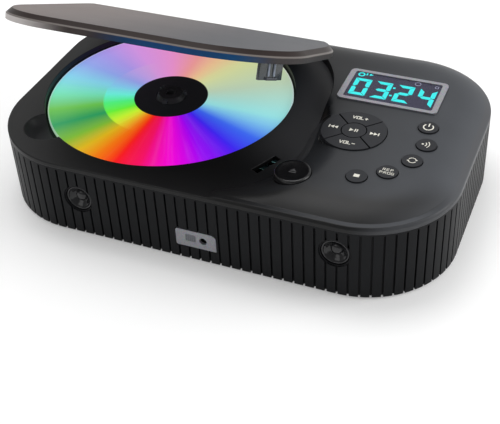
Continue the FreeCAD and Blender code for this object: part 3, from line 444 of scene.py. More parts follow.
lidTones = {
    # painted light: the top is paler towards the left and right ends
    "top": tone(40, 46, 55), "left": tone(108, 97, 93),
    # painted shade: a dark tone on the bevel
    "right": tone(74, 74, 77), "bevelShade": tone(44, 36, 34),
    "leftFade": (30 * mm, -105 * mm), "rightFade": (-20 * mm, 34 * mm),
    "skirtTop": 2.7 * mm, "glint": tone(136, 130, 126), "skirtAlpha": 0.9,
    "skirt": [  # painted reflection of the white behind and of the disc, tone from the left end on, each with where it fades in
        (tone(206, 200, 198), None), (tone(62, 54, 52), (-88 * mm, -58 * mm)),
        (tone(6, 70, 118), (-52 * mm, -22 * mm)), (tone(70, 66, 66), (14 * mm, 30 * mm)),
    ],
}


def smokedLid(name, hinge, facts):
    # tinted clear plastic: hazy top, paler towards both ends in painted light, dark bevel in painted shade, a
    # thin painted glint and a skirt painted with the disc's reflection
    paint = Finish(name)
    place = paint.place()
    x, y, height = paint.axes(place)
    rise = math.radians(hinge["rise"])
    level = (y - hinge["y"]) * math.sin(rise) + (height - hinge["z"]) * math.cos(rise)
    haze = paint.noise(place, 40, 3)
    stretched = paint.add("ShaderNodeMapping", {}, {"Vector": place, "Scale": (1, 9, 1)})
    scuffs = paint.noise(stretched, 300, 4, 0.7).eased(0.62, 0.72)
    shade = paint.mix(haze, dimmed(facts["top"], 0.85), facts["top"])
    # painted light towards the left and right ends
    shade = paint.mix(x.eased(*facts["leftFade"]) * 0.9, shade, facts["left"])
    shade = paint.mix(x.eased(*facts["rightFade"]) * 0.7, shade, facts["right"])
    upward = paint.add("ShaderNodeVectorMath", {"operation": "DOT_PRODUCT"},
                       {0: paint.add("ShaderNodeTexCoord", output="Normal"),
                        1: (0, math.sin(rise), math.cos(rise))}, "Value")
    # painted shade on the bevel, where the surface turns from the top
    shade = paint.mix(1 - upward.eased(0.78, 0.95), shade, facts["bevelShade"])
    top = facts["skirtTop"]
    skirt = level.eased(top, top - 0.5 * mm) * (1 - upward.eased(0.2, 0.5))
    # painted reflection in the skirt: pale at the left end, blue over the disc
    under = facts["skirt"][0][0]
    for colour, fade in facts["skirt"][1:]:
        under = paint.mix(x.eased(*fade), under, colour)
    shade = paint.mix(skirt, shade, under)
    glint = level.eased(top - 0.5 * mm, top - 0.2 * mm) * (1 - level.eased(top + 0.2 * mm, top + 0.5 * mm))
    shade = paint.mix(glint * 0.55, shade, facts["glint"])
    normal = paint.bump(scuffs, 0.002 * mm, 0.2, paint.softEdge(0.35 * mm))
    return paint.surface({"Base Color": shade, "Roughness": scuffs * 0.06 + haze * 0.05 + 0.42,
                          "Alpha": 1 - skirt * (1 - facts["skirtAlpha"]), "Normal": normal,
                          "Specular IOR Level": 0.1})


def litInk(name, colour):
    paint = Finish(name)
    place = paint.place()
    ripple = paint.noise(place, 500, 2)
    glow = paint.mix(ripple, dimmed(colour, 0.86), colour)
    return paint.surface({"Base Color": tone(6, 60, 60), "Roughness": 0.4, "Emission Color": glow,
                          "Emission Strength": 1.0})


# flat ink for printed marks, also used for the painted highlight on the catch's ribs
def inkAndPaintedHighlight(name, colour):
    paint = Finish(name)
    place = paint.place()
    wear = paint.noise(place, 900, 3, 0.6)
    shade = paint.mix(wear.eased(0.4, 0.7), colour, dimmed(colour, 0.8))
    return paint.surface({"Base Color": shade, "Roughness": 0.5 + wear * 0.1})


finishes.update({
    "bezel_paint": paintedSilver("bezelPaint"),
    "plate_paint": paintedSilver("platePaint"),
    "cell_sleeve": cellSleeve("cellSleeve"),
    "board_laminate": boardLaminate("boardLaminate"),
    "speaker_cone_film": coneFilm("speakerConeFilm"),
    "window_glass": darkGlass("windowGlass", tone(74, 72, 100), 0.45),
    "infrared_glass": hatchedGlass("infraredGlass", tone(118, 120, 126), tone(88, 90, 96)),
    "lens_glass": darkGlass("lensGlass", tone(120, 150, 200), 0.6),
    "lid_smoke": smokedLid("lidSmoke", lidHinge, lidTones),
    "hook_smoke": darkGlass("hookSmoke", tone(36, 46, 62), 0.84, 0.12),
})


# painted rainbow reflection of the disc against the direction round it, in degrees from the right-hand side
innerFan = {
    0: (127, 227, 217), 30: (172, 208, 170), 60: (211, 222, 170), 90: (232, 180, 164),
    120: (232, 164, 204), 150: (188, 158, 230), 165: (148, 160, 230), 180: (129, 198, 236),
    195: (104, 238, 216), 210: (78, 238, 124), 225: (102, 239, 56), 240: (202, 243, 48),
    255: (243, 182, 48), 270: (242, 80, 58), 285: (241, 60, 132), 300: (240, 48, 238),
    315: (134, 48, 242), 330: (62, 82, 238), 345: (88, 180, 233),
}
outerFan = {
    0: (150, 222, 222), 30: (187, 210, 183), 60: (216, 222, 160), 78: (240, 196, 150),
    94: (240, 156, 156), 114: (236, 148, 208), 136: (214, 150, 228), 152: (168, 150, 232),
    166: (140, 162, 232), 180: (126, 204, 230), 195: (112, 220, 184), 210: (102, 189, 72),
    224: (30, 150, 90), 238: (120, 180, 50), 249: (214, 176, 24), 259: (236, 116, 10),
    269: (240, 26, 20), 281: (236, 16, 96), 295: (236, 4, 206), 311: (146, 4, 236),
    326: (62, 34, 232), 339: (58, 100, 232), 351: (122, 190, 230),
}

discFacts = {
    "clamp": (17.9 * mm, 18.3 * mm), "clampTone": tone(16, 17, 19),
    "bandEnd": (32.5 * mm, 33.5 * mm), "bandFrom": (0.34, 0.42), "bandTo": (0.66, 0.74),  # in turns
    # painted highlight: a pale ring just inside the disc's edge
    "rim": (59.2 * mm, 59.5 * mm), "rimHighlight": tone(205, 205, 215), "streakTone": tone(225, 225, 235),
    # painted glow: the disc emits its colours so they stay bright in shade
    "glow": 0.85,
}


def discStops(fan):
    stops = [(angle / 360, tone(*colour)) for angle, colour in sorted(fan.items())]
    return stops + [(1.0, stops[0][1])]


def discFoil(name, facts):
    # pressed disc: a clear clamping ring, then the data area with its fan of colours, a painted rainbow
    # reflection that also glows as painted light over a darkened base colour
    paint = Finish(name)
    low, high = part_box("compact_disc")
    centred = paint.add("ShaderNodeVectorMath", {"operation": "SUBTRACT"},
                        {0: paint.place(), 1: (low + high) / 2})
    x, y = paint.axes(centred)[:2]
    radius = (x * x + y * y) ** 0.5
    turn = x.maths("ARCTAN2", y, x) / (2 * math.pi)
    around = turn.maths("FRACT", turn + 1)
    inner, outer = [paint.add("ShaderNodeValToRGB", {"stops": discStops(fan)}, {0: around})
                    for fan in (innerFan, outerFan)]
    # the inner band shows on the left only; elsewhere the two run together
    band = (1 - radius.eased(*facts["bandEnd"])) * around.eased(*facts["bandFrom"])
    shade = paint.mix(band * (1 - around.eased(*facts["bandTo"])), outer, inner)
    fanned = paint.add("ShaderNodeCombineXYZ", {}, {0: around * 70, 1: radius * 12})
    streaks = paint.noise(fanned, 1.0, 3, 0.7).eased(0.45, 0.8)
    shade = paint.mix(streaks * 0.02, shade, facts["streakTone"])
    # painted highlight along the disc's edge
    shade = paint.mix(radius.eased(*facts["rim"]) * 0.4, shade, facts["rimHighlight"])
    shade = paint.mix(1 - radius.eased(*facts["clamp"]), shade, facts["clampTone"])
    rings = paint.noise(paint.add("ShaderNodeCombineXYZ", {}, {0: radius * 9000}), 1.0, 2)
    # base colour darkened and the colours emitted instead: painted light
    return paint.surface({"Base Color": paint.mix(0.4, shade, (0, 0, 0, 1)), "Roughness": rings * 0.06 + 0.35,
                          "Normal": paint.bump(rings, 0.001 * mm, 0.2), "Specular IOR Level": 0.3,
                          "Coat Weight": 0.15, "Coat Roughness": 0.05,
                          "Emission Color": shade, "Emission Strength": facts["glow"]})


finishes["disc_foil"] = discFoil("discFoil", discFacts)
digitGlow = litInk("digitGlow", tone(10, 236, 236))
faintSegments = inkAndPaintedHighlight("faintSegments", tone(150, 150, 176))
legendWhite = inkAndPaintedHighlight("legendWhite", tone(222, 220, 208))
buttonMark = inkAndPaintedHighlight("buttonMark", tone(62, 62, 64))
# paler than the cover: painted light in the shaded bowl of the finger scoop
scoopPaintedLight = mouldedPlastic("scoopPaintedLight", tone(58, 58, 60), 0.34, 0.01)
# pale ribs of the clear catch: a painted highlight
ribGlow = inkAndPaintedHighlight("ribGlow", tone(158, 168, 184))
print("finishes are mixed")

for part in frame["record"]["subparts"]:
    held = nodes[part["node"]].data.materials
    held.clear()
    held.append(finishes[part["material_slot"]].material)
print("frame nodes have their finishes")


# mesh helpers: sizes are in metres

def makePiece(name, points, faces, body, slot, finish=None, smooth=32):
    mesh = bpy.data.meshes.new(name)
    mesh.from_pydata([tuple(point) for point in points], [], faces)
    return keepMesh(name, mesh, body, slot, finish, smooth)


def keepMesh(name, mesh, body, slot, finish=None, smooth=32):
    mesh.validate()
    shaping = bmesh.new()
    shaping.from_mesh(mesh)
    bmesh.ops.remove_doubles(shaping, verts=shaping.verts, dist=1e-7)
    bmesh.ops.recalc_face_normals(shaping, faces=shaping.faces)
    shaping.to_mesh(mesh)
    shaping.free()
    mesh.shade_smooth()
    mesh.set_sharp_from_angle(angle=math.radians(smooth))
    mesh.materials.clear()
    mesh.materials.append((finish or finishes[slot]).material)
    piece = looseObject(name, mesh)
    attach(piece, body)
    return piece


def shapedMesh(piece, name):
    # the piece's mesh with its modifiers applied
    bpy.context.view_layer.update()
    graph = bpy.context.evaluated_depsgraph_get()
    mesh = bpy.data.meshes.new_from_object(piece.evaluated_get(graph))
    mesh.name = name
    return mesh


def looseObject(name, mesh):
    holder = bpy.data.objects.new(name, mesh)
    scene.collection.objects.link(holder)
    return holder


def carve(mesh, cutters, name):
    # mesh less each cutter mesh
    base = looseObject(name + "Blank", mesh)
    tools = [looseObject("tool", cutter) for cutter in cutters]
    for tool in tools:
        step = base.modifiers.new("carve", "BOOLEAN")
        step.operation = "DIFFERENCE"
        step.solver = "EXACT"
        step.object = tool
    result = shapedMesh(base, name)
    for spare in [base, *tools]:
        bpy.data.objects.remove(spare)
    return result


def meshOf(points, faces):
    mesh = bpy.data.meshes.new("form")
    mesh.from_pydata([tuple(point) for point in points], [], faces)
    shaping = bmesh.new()
    shaping.from_mesh(mesh)
    bmesh.ops.recalc_face_normals(shaping, faces=shaping.faces)
    shaping.to_mesh(mesh)
    shaping.free()
    return mesh


def prismForm(outline, low, high):
    # an upright solid on an outline, as points and faces
    count = len(outline)
    points = [(x, y, low) for x, y in outline] + [(x, y, high) for x, y in outline]
    sides = [(i, (i + 1) % count, count + (i + 1) % count, count + i) for i in range(count)]
    return points, [tuple(reversed(range(count))), tuple(range(count, 2 * count)), *sides]


def bar(west, east, south, north):
    return [(west, south), (east, south), (east, north), (west, north)]


def circleOutline(x, y, radius, steps=48, start=0.0, end=2 * math.pi):
    closed = end - start > 6.28
    turns = [start + (end - start) * step / (steps if closed else steps - 1) for step in range(steps)]
    return [(x + radius * math.cos(turn), y + radius * math.sin(turn)) for turn in turns]


def roundedOutline(west, east, south, north, radii, steps=16):
    # radii run south-west, south-east, north-east, north-west
    corners = [(west, south, 1, 1, math.pi), (east, south, -1, 1, 1.5 * math.pi),
               (east, north, -1, -1, 0.0), (west, north, 1, -1, 0.5 * math.pi)]
    outline = []
    for (x, y, inX, inY, start), radius in zip(corners, radii):
        outline += circleOutline(x + inX * radius, y + inY * radius, radius, steps,
                                 start, start + math.pi / 2)
    return outline


def latheForm(profile, steps=96, place=(0, 0, 0), axis="Z"):
    # profile is a closed loop of (radius, height)
    points, rings = [], []
    for radius, height in profile:
        if radius < 1e-7:
            rings.append([len(points)] * steps)
            points.append((0, 0, height))
        else:
            first = len(points)
            rings.append(list(range(first, first + steps)))
            points += [(x, y, height) for x, y in circleOutline(0, 0, radius, steps)]
    faces = []
    for one, two in zip(rings, rings[1:] + rings[:1]):
        for step in range(steps):
            after = (step + 1) % steps
            corners = [one[step], one[after], two[after], two[step]]
            face = tuple(dict.fromkeys(corners))
            if len(face) > 2:
                faces.append(face)
    if axis == "Y":  # outwards through the front wall
        points = [(x, -z, y) for x, y, z in points]
    if axis == "X":
        points = [(z, x, y) for x, y, z in points]
    return [Vector(point) + Vector(place) for point in points], faces


def rounded(profile, radius, steps=4):
    # rounds the corners of a closed loop of (radius, height) points
    loop = []
    for index, corner in enumerate(profile):
        here = Vector(corner)
        before, after = Vector(profile[index - 1]), Vector(profile[(index + 1) % len(profile)])
        if here.x < 1e-7 or (before - here).length < 1e-9 or (after - here).length < 1e-9:
            loop.append(corner)
            continue
        reach = min(radius, (before - here).length * 0.45, (after - here).length * 0.45)
        start = here + (before - here).normalized() * reach
        end = here + (after - here).normalized() * reach
        for step in range(steps + 1):
            share = step / steps
            bend = 2 * share * (1 - share) * here
            loop.append(tuple((1 - share) ** 2 * start + bend + share ** 2 * end))
    return loop


def nodeMiddle(name):
    low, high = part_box(name)
    return (low + high) / 2


def joined(forms):
    points, faces = [], []
    for some, more in forms:
        faces += [tuple(index + len(points) for index in face) for face in more]
        points += some
    return points, faces


def softened(name, form, width, segments, body, slot, finish=None):
    # a form whose sharp edges are bevelled
    blank = looseObject(name + "Blank", meshOf(*form))
    step = blank.modifiers.new("soften", "BEVEL")
    step.width = width
    step.segments = segments
    step.limit_method = "ANGLE"
    step.angle_limit = math.radians(35)
    mesh = shapedMesh(blank, name)
    bpy.data.objects.remove(blank)
    return keepMesh(name, mesh, body, slot, finish)


# case: ribbed wall with rows of sound holes beside each loudspeaker

soundHoles = {"radius": 0.42 * mm, "depth": 0.9 * mm, "pitch": 1.5 * mm, "rows": 20,
              "reach": 12.5 * mm, "margin": 2.6 * mm, "port": 7.6 * mm, "ribDepth": 1.2 * mm,
              "grooveWidth": (0.8 * mm, 1.1 * mm)}


def caseSkin(facts):
    low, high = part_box("ribbed_case")
    spots = np.array([vertex.co for vertex in nodes["ribbed_case"].data.vertices])
    floorY = low.y + facts["ribDepth"]
    across = np.unique(np.round(spots[np.abs(spots[:, 1] - floorY) < 0.02 * mm][:, 0], 5))
    narrow, wide = facts["grooveWidth"]
    grooves = [(west + east) / 2 for west, east in zip(across, across[1:]) if narrow < east - west < wide]
    print("grooves found:", len(grooves))
    rows = [low.z + facts["margin"] + row * facts["pitch"] for row in range(facts["rows"])]
    radius, depth = facts["radius"], facts["depth"]
    profile = [(0, -depth), (radius, -depth), (radius, depth), (0, depth)]
    cutters = []
    for side in ("left", "right"):
        cone = nodeMiddle("speaker_cone_" + side)
        holes = [(x, z) for x in grooves if abs(x - cone.x) <= facts["reach"]
                 for z in rows if z <= high.z - facts["margin"]]
        forms = [latheForm(profile, 10, (x, floorY, z), "Y") for x, z in holes
                 if math.hypot(x - cone.x, z - cone.z) >= facts["port"]]
        cutters.append(meshOf(*joined(forms)))
    weld = looseObject("weldBlank", nodes["ribbed_case"].data.copy())
    step = weld.modifiers.new("weld", "WELD")
    step.merge_threshold = 1e-6
    welded = shapedMesh(weld, "ribbedCase")
    bpy.data.objects.remove(weld)
    for attribute in [a for a in welded.attributes if a.name == "custom_normal"]:
        welded.attributes.remove(attribute)
    skin = keepMesh("ribbedCase", carve(welded, cutters, "ribbedCase"), "case", "case_plastic", smooth=28)
    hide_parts("ribbed_case")


caseSkin(soundHoles)
print("ribbed case has its sound holes")


# cover: a soft raised panel that runs down into the disc tray's floor at the front corner

coverFacts = {
    "halfX": 109 * mm, "halfY": 68.2 * mm, "cornerRadius": 42.2 * mm,
    "seat": 38 * mm, "panel": 43 * mm, "under": 35.8 * mm,
    "lip": 0.55 * mm,  # radius of the outer edge
    "rimWidth": 3.2 * mm, "rimRise": 0.9 * mm, "rimRun": 0.9 * mm, "rimEnd": 9.6 * mm,
    "pillowWidth": 18 * mm, "pillowPower": 2.3, "frontStart": -30 * mm, "frontSpan": 28 * mm,
    "trayEast": 35.7 * mm, "traySouth": -64.7 * mm, "trayNorth": 69.1 * mm,
    "trayCorner": 41.7 * mm, "trayRear": 57 * mm, "trayWall": 0.6 * mm,
    "softStart": 17 * mm, "softSpan": 46 * mm, "softWidth": 17 * mm,  # where the tray's wall melts away
    "around": 520, "wellGap": 1 * mm, "windowGap": 0.15 * mm,
    "keyGap": 0.25 * mm, "keyPocket": 1.1 * mm, "pocketTop": 41 * mm, "ringRadius": 14.8 * mm,
    "smallKeyRadius": 4.5 * mm, "buttonHole": 8.25 * mm, "buttonFloor": 1.2 * mm,
    "hingeCut": (5.1 * mm, 2.5 * mm),
    "scoopPlace": (-42 * mm, -46 * mm), "scoopRadius": 11 * mm,  # from the disc's middle
}

hookFacts = {"corner": (-6, -23), "turn": -26, "radius": 32.3,
             "slot": (31.65, 35.55), "slotHalf": 7.15}  # in mm, square to the hook's direction


def insetFromEdge(x, y, halfX, halfY, radius):
    reachX = np.abs(x) - (halfX - radius)
    reachY = np.abs(y) - (halfY - radius)
    outside = np.hypot(np.maximum(reachX, 0), np.maximum(reachY, 0))
    return radius - outside - np.minimum(np.maximum(reachX, reachY), 0)


def smoothStep(value):
    value = np.clip(value, 0, 1)
    return value * value * (3 - 2 * value)


def pastTray(x, y, facts):
    # distance outside the lid's tray, whose two right-hand corners are arcs
    front, rear = facts["trayCorner"], facts["trayRear"]
    frontX, frontY = x - facts["trayEast"] + front, facts["traySouth"] + front - y
    rearX, rearY = x - facts["trayEast"] + rear, y - facts["trayNorth"] + rear
    frontPast = np.where(frontX > 0, np.hypot(frontX, frontY) - front, frontY - front)
    rearPast = np.where(rearX > 0, np.hypot(rearX, rearY) - rear, rearY - rear)
    past = np.where(frontY > 0, frontPast, x - facts["trayEast"])
    return np.where(rearY > 0, rearPast, past)


def panelHeight(x, y, facts):
    inset = insetFromEdge(x, y, facts["halfX"], facts["halfY"], facts["cornerRadius"])
    rise = facts["panel"] - facts["seat"]
    edge, power = facts["lip"], facts["pillowPower"]
    lip = np.where(inset < edge, -edge + np.sqrt(np.clip(edge ** 2 - (edge - inset) ** 2, 0, None)), 0)
    rim = facts["rimRise"] * smoothStep(inset / facts["rimRun"])
    share = np.clip((inset - facts["rimWidth"]) / facts["pillowWidth"], 0, 1)
    pillow = (rise - facts["rimRise"]) * (1 - (1 - share) ** power)
    # the rim's own step shows along the front; the sides and rear roll straight down to the edge
    roll = rise * (1 - (1 - np.clip(inset / (facts["rimWidth"] + facts["pillowWidth"]), 0, 1)) ** power)
    frontness = smoothStep((facts["frontStart"] - y) / facts["frontSpan"])
    pillow = pillow * frontness + (roll - rim) * (1 - frontness)
    beyond = pastTray(x, y, facts)
    slack = smoothStep((facts["softStart"] - y) / facts["softSpan"])
    soft = np.clip(slack * 4, 0, 1)
    ramp = smoothStep(beyond / (facts["trayWall"] + facts["softWidth"] * slack))
    ramp = 1 - soft * (1 - ramp)
    east = np.where(y < 0, smoothStep((x - facts["rimEnd"]) / (1.2 * mm)), 1)
    rimShare = np.maximum(smoothStep(beyond / (2 * mm)), 1 - soft)
    top = facts["seat"] + lip + (rim * rimShare + pillow * ramp) * east
    return np.where(beyond < 0, top - 0.02 * mm * soft, top)


def coverForm(facts):
    # rings from the edge inwards, close together where the edge bends most
    insets = [0, 0.03, 0.1, 0.22, 0.36, 0.5, 0.6, 0.75, 0.95, 1.3, 1.8, 2.4, 2.9, 3.2, 3.35, 3.6, 4, 4.5,
              5.1, 5.8, 6.6, 7.5, 8.5, 9.6, 10.8, 12, 13.2, 14.4, 15.6, 16.8, 18.2]
    insets += list(np.arange(19.4, 67, 1.25)) + [67.6]
    rings = [evenLoop(inset * mm, facts) for inset in insets]
    count, last = len(rings[0]), (len(rings) - 1) * len(rings[0])
    points, faces = [], []
    for loop in rings:
        x, y = loop[:, 0], loop[:, 1]
        points += list(zip(x, y, panelHeight(x, y, facts)))
    base = len(points)
    points += [(x, y, facts["under"]) for x, y in rings[0]]
    for step in range(count):
        after = (step + 1) % count
        faces += [(first + step, first + after, first + count + after, first + count + step)
                  for first in range(0, last, count)]
        faces.append((step, after, base + after, base + step))
    faces += [tuple(range(last, last + count)), tuple(range(base, base + count))]
    return meshOf(points, faces)


def evenLoop(inset, facts):
    # the same number of points round each ring: straights keep theirs, corners keep theirs
    radius = max(facts["cornerRadius"] - inset, 0.05 * mm)
    innerX, innerY = facts["halfX"] - inset - radius, facts["halfY"] - inset - radius
    longSide, shortSide = int(facts["around"] * 0.2), int(facts["around"] * 0.1)
    loop = []
    for turn, signX, signY, along in ((0, 1, 1, longSide), (90, -1, 1, shortSide),
                                      (180, -1, -1, longSide), (270, 1, -1, shortSide)):
        loop += [(signX * innerX + radius * math.cos(angle), signY * innerY + radius * math.sin(angle))
                 for angle in [math.radians(turn + 90 * step / shortSide) for step in range(shortSide)]]
        end = math.radians(turn + 90)
        fromX, fromY = signX * innerX + radius * math.cos(end), signY * innerY + radius * math.sin(end)
        toX, toY = -signY * innerX + radius * math.cos(end), signX * innerY + radius * math.sin(end)
        loop += [(fromX + (toX - fromX) * step / along, fromY + (toY - fromY) * step / along)
                 for step in range(along)]
    return np.array(loop)


def cylinderTool(x, y, radius, low, high, steps=64):
    return meshOf(*prismForm(circleOutline(x, y, radius, steps), low, high))


def hookPoint(along, across, facts):
    # metres, from millimetres along and across the hook's direction
    turn = math.radians(facts["turn"])
    return ((facts["corner"][0] + along * math.cos(turn) - across * math.sin(turn)) * mm,
            (facts["corner"][1] + along * math.sin(turn) + across * math.cos(turn)) * mm)


def coverTools(facts, hook):
    # everything that is cut from the cover
    below, above = facts["under"] - 1 * mm, facts["panel"] + 5 * mm
    tray = roundedOutline(-cadBox[1][0] - 5 * mm, facts["trayEast"],
                          facts["traySouth"], facts["trayNorth"],
                          [1 * mm, facts["trayCorner"], facts["trayRear"], 1 * mm], 40)
    disc = nodeMiddle("compact_disc")
    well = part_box("compact_disc")[1].x - disc.x + facts["wellGap"]
    tools = [meshOf(*prismForm(tray, facts["seat"], above)),
             cylinderTool(disc.x, disc.y, well, below, above, 160),
             cylinderTool(disc.x + facts["scoopPlace"][0], disc.y + facts["scoopPlace"][1],
                          facts["scoopRadius"], below, above, 72)]
    low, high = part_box("display_window")
    gap = facts["windowGap"]
    window = roundedOutline(low.x - gap, high.x + gap, low.y - gap, high.y + gap, [0.5 * mm] * 4, 6)
    tools.append(meshOf(*prismForm(window, below, above)))
    for key in ("play_key", "power_key", "source_key", "mode_key", "program_key", "stop_key"):
        middle = nodeMiddle(key)
        radius = facts["ringRadius"] if key == "play_key" else facts["smallKeyRadius"]
        tools.append(cylinderTool(middle.x, middle.y, radius + facts["keyGap"], below, above, 96))
        tools.append(cylinderTool(middle.x, middle.y, radius + facts["keyPocket"],
                                  below, facts["pocketTop"], 96))
    button = nodeMiddle("open_button")
    tools.append(cylinderTool(button.x, button.y, facts["buttonHole"],
                              facts["under"] + facts["buttonFloor"], above, 80))
    start, end = hook["slot"]
    slot = [hookPoint(along, side * hook["slotHalf"], hook)
            for along, side in ((start, -1), (end, -1), (end, 1), (start, 1))]
    tools.append(meshOf(*prismForm(slot, below, above)))
    halfX, halfY = facts["hingeCut"]
    for name in ("hinge_pin_left", "hinge_pin_right"):
        pin = nodeMiddle(name)
        cut = bar(pin.x - halfX, pin.x + halfX, pin.y - halfY, pin.y + halfY)
        tools.append(meshOf(*prismForm(cut, below, above)))
    return tools


def coverSkin(facts, hook):
    body = carve(coverForm(facts), coverTools(facts, hook), "topCover")
    skin = keepMesh("topCover", body, "case", "cover_plastic", smooth=24)
    evened = skin.modifiers.new("evened", "WEIGHTED_NORMAL")
    evened.keep_sharp = True
    evened.weight = 90
    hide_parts("top_cover")


coverSkin(coverFacts, hookFacts)
print("cover is shaped")


# finger scoop: a smooth bowl beside the disc, in a paler tone that paints light into its shade

scoopBowl = [(10.98, 31.6), (10.98, 37.9), (10.7, 37.3), (10.2, 36.2), (9.5, 34.8), (8.6, 33.5),
             (7.4, 32.5), (5.5, 31.95), (0, 31.85), (0, 31.6)]  # radius and height in mm


def fingerScoop(facts, bowl):
    disc = nodeMiddle("compact_disc")
    form = latheForm([(radius * mm, height * mm) for radius, height in bowl], 72,
                     (disc.x + facts["scoopPlace"][0], disc.y + facts["scoopPlace"][1], 0))
    well = cylinderTool(disc.x, disc.y, 61.05 * mm, 30 * mm, 40 * mm, 160)
    keepMesh("fingerScoop", carve(meshOf(*form), [well], "fingerScoop"), "case", "cover_plastic",
             scoopPaintedLight, smooth=50)


fingerScoop(coverFacts, scoopBowl)


# front plate with rounded corners, a bore for the jack and a window

plateFacts = {"corners": [0.8 * mm, 0.5 * mm, 2.4 * mm, 1.2 * mm], "bore": 1.8 * mm,
              "paneGap": 0.1 * mm, "paneCorner": 0.3 * mm}


def frontPlate(facts):
    low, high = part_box("front_plate")
    paneLow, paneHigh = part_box("infrared_window")
    jack, gap = nodeMiddle("headphone_jack"), facts["paneGap"]
    face = roundedOutline(low.x, high.x, low.z, high.z, facts["corners"], 10)
    hole = circleOutline(jack.x, jack.z, facts["bore"], 40)
    pane = roundedOutline(paneLow.x - gap, paneHigh.x + gap, paneLow.z - gap, paneHigh.z + gap,
                          [facts["paneCorner"]] * 4, 4)
    forms = [prismForm(face, low.y, high.y)]
    forms += [prismForm(outline, low.y - 1 * mm, high.y + 1 * mm) for outline in (hole, pane)]
    plate, *tools = [meshOf([(x, y, z) for x, z, y in points], faces) for points, faces in forms]
    skin = keepMesh("frontPlate", carve(plate, tools, "frontPlate"), "case", "plate_paint")
    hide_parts("front_plate")


frontPlate(plateFacts)


# hinge ears on the cover

earFacts = {"starts": (-7.3 * mm, 5.1 * mm), "width": 2.2 * mm, "radius": 2.2 * mm, "foot": 37 * mm}


def hingeEars(facts):
    width, radius = facts["width"], facts["radius"]
    profile = rounded([(0, 0), (radius, 0), (radius, width), (0, width)], 0.4 * mm)
    inset = 0.1 * mm
    forms = []
    for name in ("hinge_pin_left", "hinge_pin_right"):
        pin = nodeMiddle(name)
        south, north = pin.y - radius + inset, pin.y + radius - inset
        for start in facts["starts"]:
            forms.append(latheForm(profile, 40, (pin.x + start, pin.y, pin.z), "X"))
            west, east = pin.x + start + inset, pin.x + start + width - inset
            forms.append(prismForm(bar(west, east, south, north), facts["foot"], pin.z))
    makePiece("hingeEars", *joined(forms), "case", "cover_plastic")


hingeEars(earFacts)


# loudspeakers: rolled surround, cone and domed cap

speakerFacts = {
    "cone": [(6.38, -1.2), (6.38, -0.25), (6.2, 0.05), (5.9, 0.22), (5.6, 0.12), (5.4, -0.2), (5.3, -0.5),
             (4.9, -0.75), (4.2, -1.5), (3.4, -2.3), (3.0, -2.5), (2.85, -2.2), (2.6, -1.75), (2.1, -1.3),
             (1.5, -1.0), (0.8, -0.85), (0, -0.8), (0, -3.6), (2.6, -3.7)],  # radius and reach in mm
    "ring": [(6.48, -0.3), (6.48, 0.75), (7.15, 0.75), (7.15, -0.3)],
    "ringSeat": 0.6 * mm,
}


def loudspeaker(side, facts):
    cone, ring = [[(radius * mm, reach * mm) for radius, reach in facts[key]] for key in ("cone", "ring")]
    middle = nodeMiddle("speaker_cone_" + side)
    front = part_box("speaker_cone_" + side)[0].y
    form = latheForm(cone, 96, (middle.x, front, middle.z), "Y")
    skin = makePiece("speakerCone" + side.capitalize(), *form, "case", "speaker_cone_film", smooth=50)
    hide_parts("speaker_cone_" + side)
    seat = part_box("speaker_frame_" + side)[0].y + facts["ringSeat"]
    form = latheForm(rounded(ring, 0.3 * mm, 5), 96, (middle.x, seat, middle.z), "Y")
    makePiece("speakerRing" + side.capitalize(), *form, "case", "speaker_frame_plastic", smooth=50)


for speakerSide in ("left", "right"):
    loudspeaker(speakerSide, speakerFacts)
print("loudspeakers are in")


# marks: thin shapes on the keys and the display, in millimetres about a middle

def ringSector(outer, inner, start, end, x=0, y=0, steps=28):
    turns = [math.radians(start + (end - start) * step / steps) for step in range(steps + 1)]
    return ([(x + outer * math.cos(turn), y + outer * math.sin(turn)) for turn in turns]
            + [(x + inner * math.cos(turn), y + inner * math.sin(turn)) for turn in reversed(turns)])


def fullRing(outer, inner, x, y):
    return [ringSector(outer, inner, start, start + 176, x, y) for start in (2, 182)]


def triangle(x, length, half):
    # points right with a positive length, left with a negative one
    return [(x, -half), (x + length, 0), (x, half)]


letterStrokes = {  # on a box 1 wide and 1 tall
    "V": [(0, 1, 0.5, 0), (0.5, 0, 1, 1)],
    "O": [(0, 0, 1, 0), (1, 0, 1, 1), (1, 1, 0, 1), (0, 1, 0, 0)],
    "L": [(0, 1, 0, 0), (0, 0, 0.9, 0)],
    "R": [(0, 0, 0, 1), (0, 1, 0.9, 1), (0.9, 1, 0.9, 0.5), (0.9, 0.5, 0, 0.5), (0.4, 0.5, 1, 0)],
    "E": [(0, 0, 0, 1), (0, 1, 0.9, 1), (0, 0.5, 0.75, 0.5), (0, 0, 0.9, 0)],
    "P": [(0, 0, 0, 1), (0, 1, 0.9, 1), (0.9, 1, 0.9, 0.45), (0.9, 0.45, 0, 0.45)],
    "G": [(0.95, 1, 0, 1), (0, 1, 0, 0), (0, 0, 0.95, 0), (0.95, 0, 0.95, 0.5), (0.95, 0.5, 0.5, 0.5)],
    "+": [(0.05, 0.5, 0.95, 0.5), (0.5, 0.1, 0.5, 0.9)],
    "-": [(0.05, 0.5, 0.95, 0.5)],
}


def strokeBar(x0, y0, x1, y1, half):
    along = Vector((x1 - x0, y1 - y0)).normalized() * half
    side = Vector((-along.y, along.x))
    start, end = Vector((x0, y0)) - along, Vector((x1, y1)) + along
    return [tuple(start - side), tuple(end - side), tuple(end + side), tuple(start + side)]


def lettering(text, x, y, width, tall, half, gap):
    # a word in strokes, about (x, y)
    whole = len(text) * width + (len(text) - 1) * gap
    shapes = []
    for index, letter in enumerate(text):
        west = x - whole / 2 + index * (width + gap)
        for x0, y0, x1, y1 in letterStrokes[letter]:
            shapes.append(strokeBar(west + x0 * width, y - tall / 2 + y0 * tall,
                                    west + x1 * width, y - tall / 2 + y1 * tall, half))
    return shapes


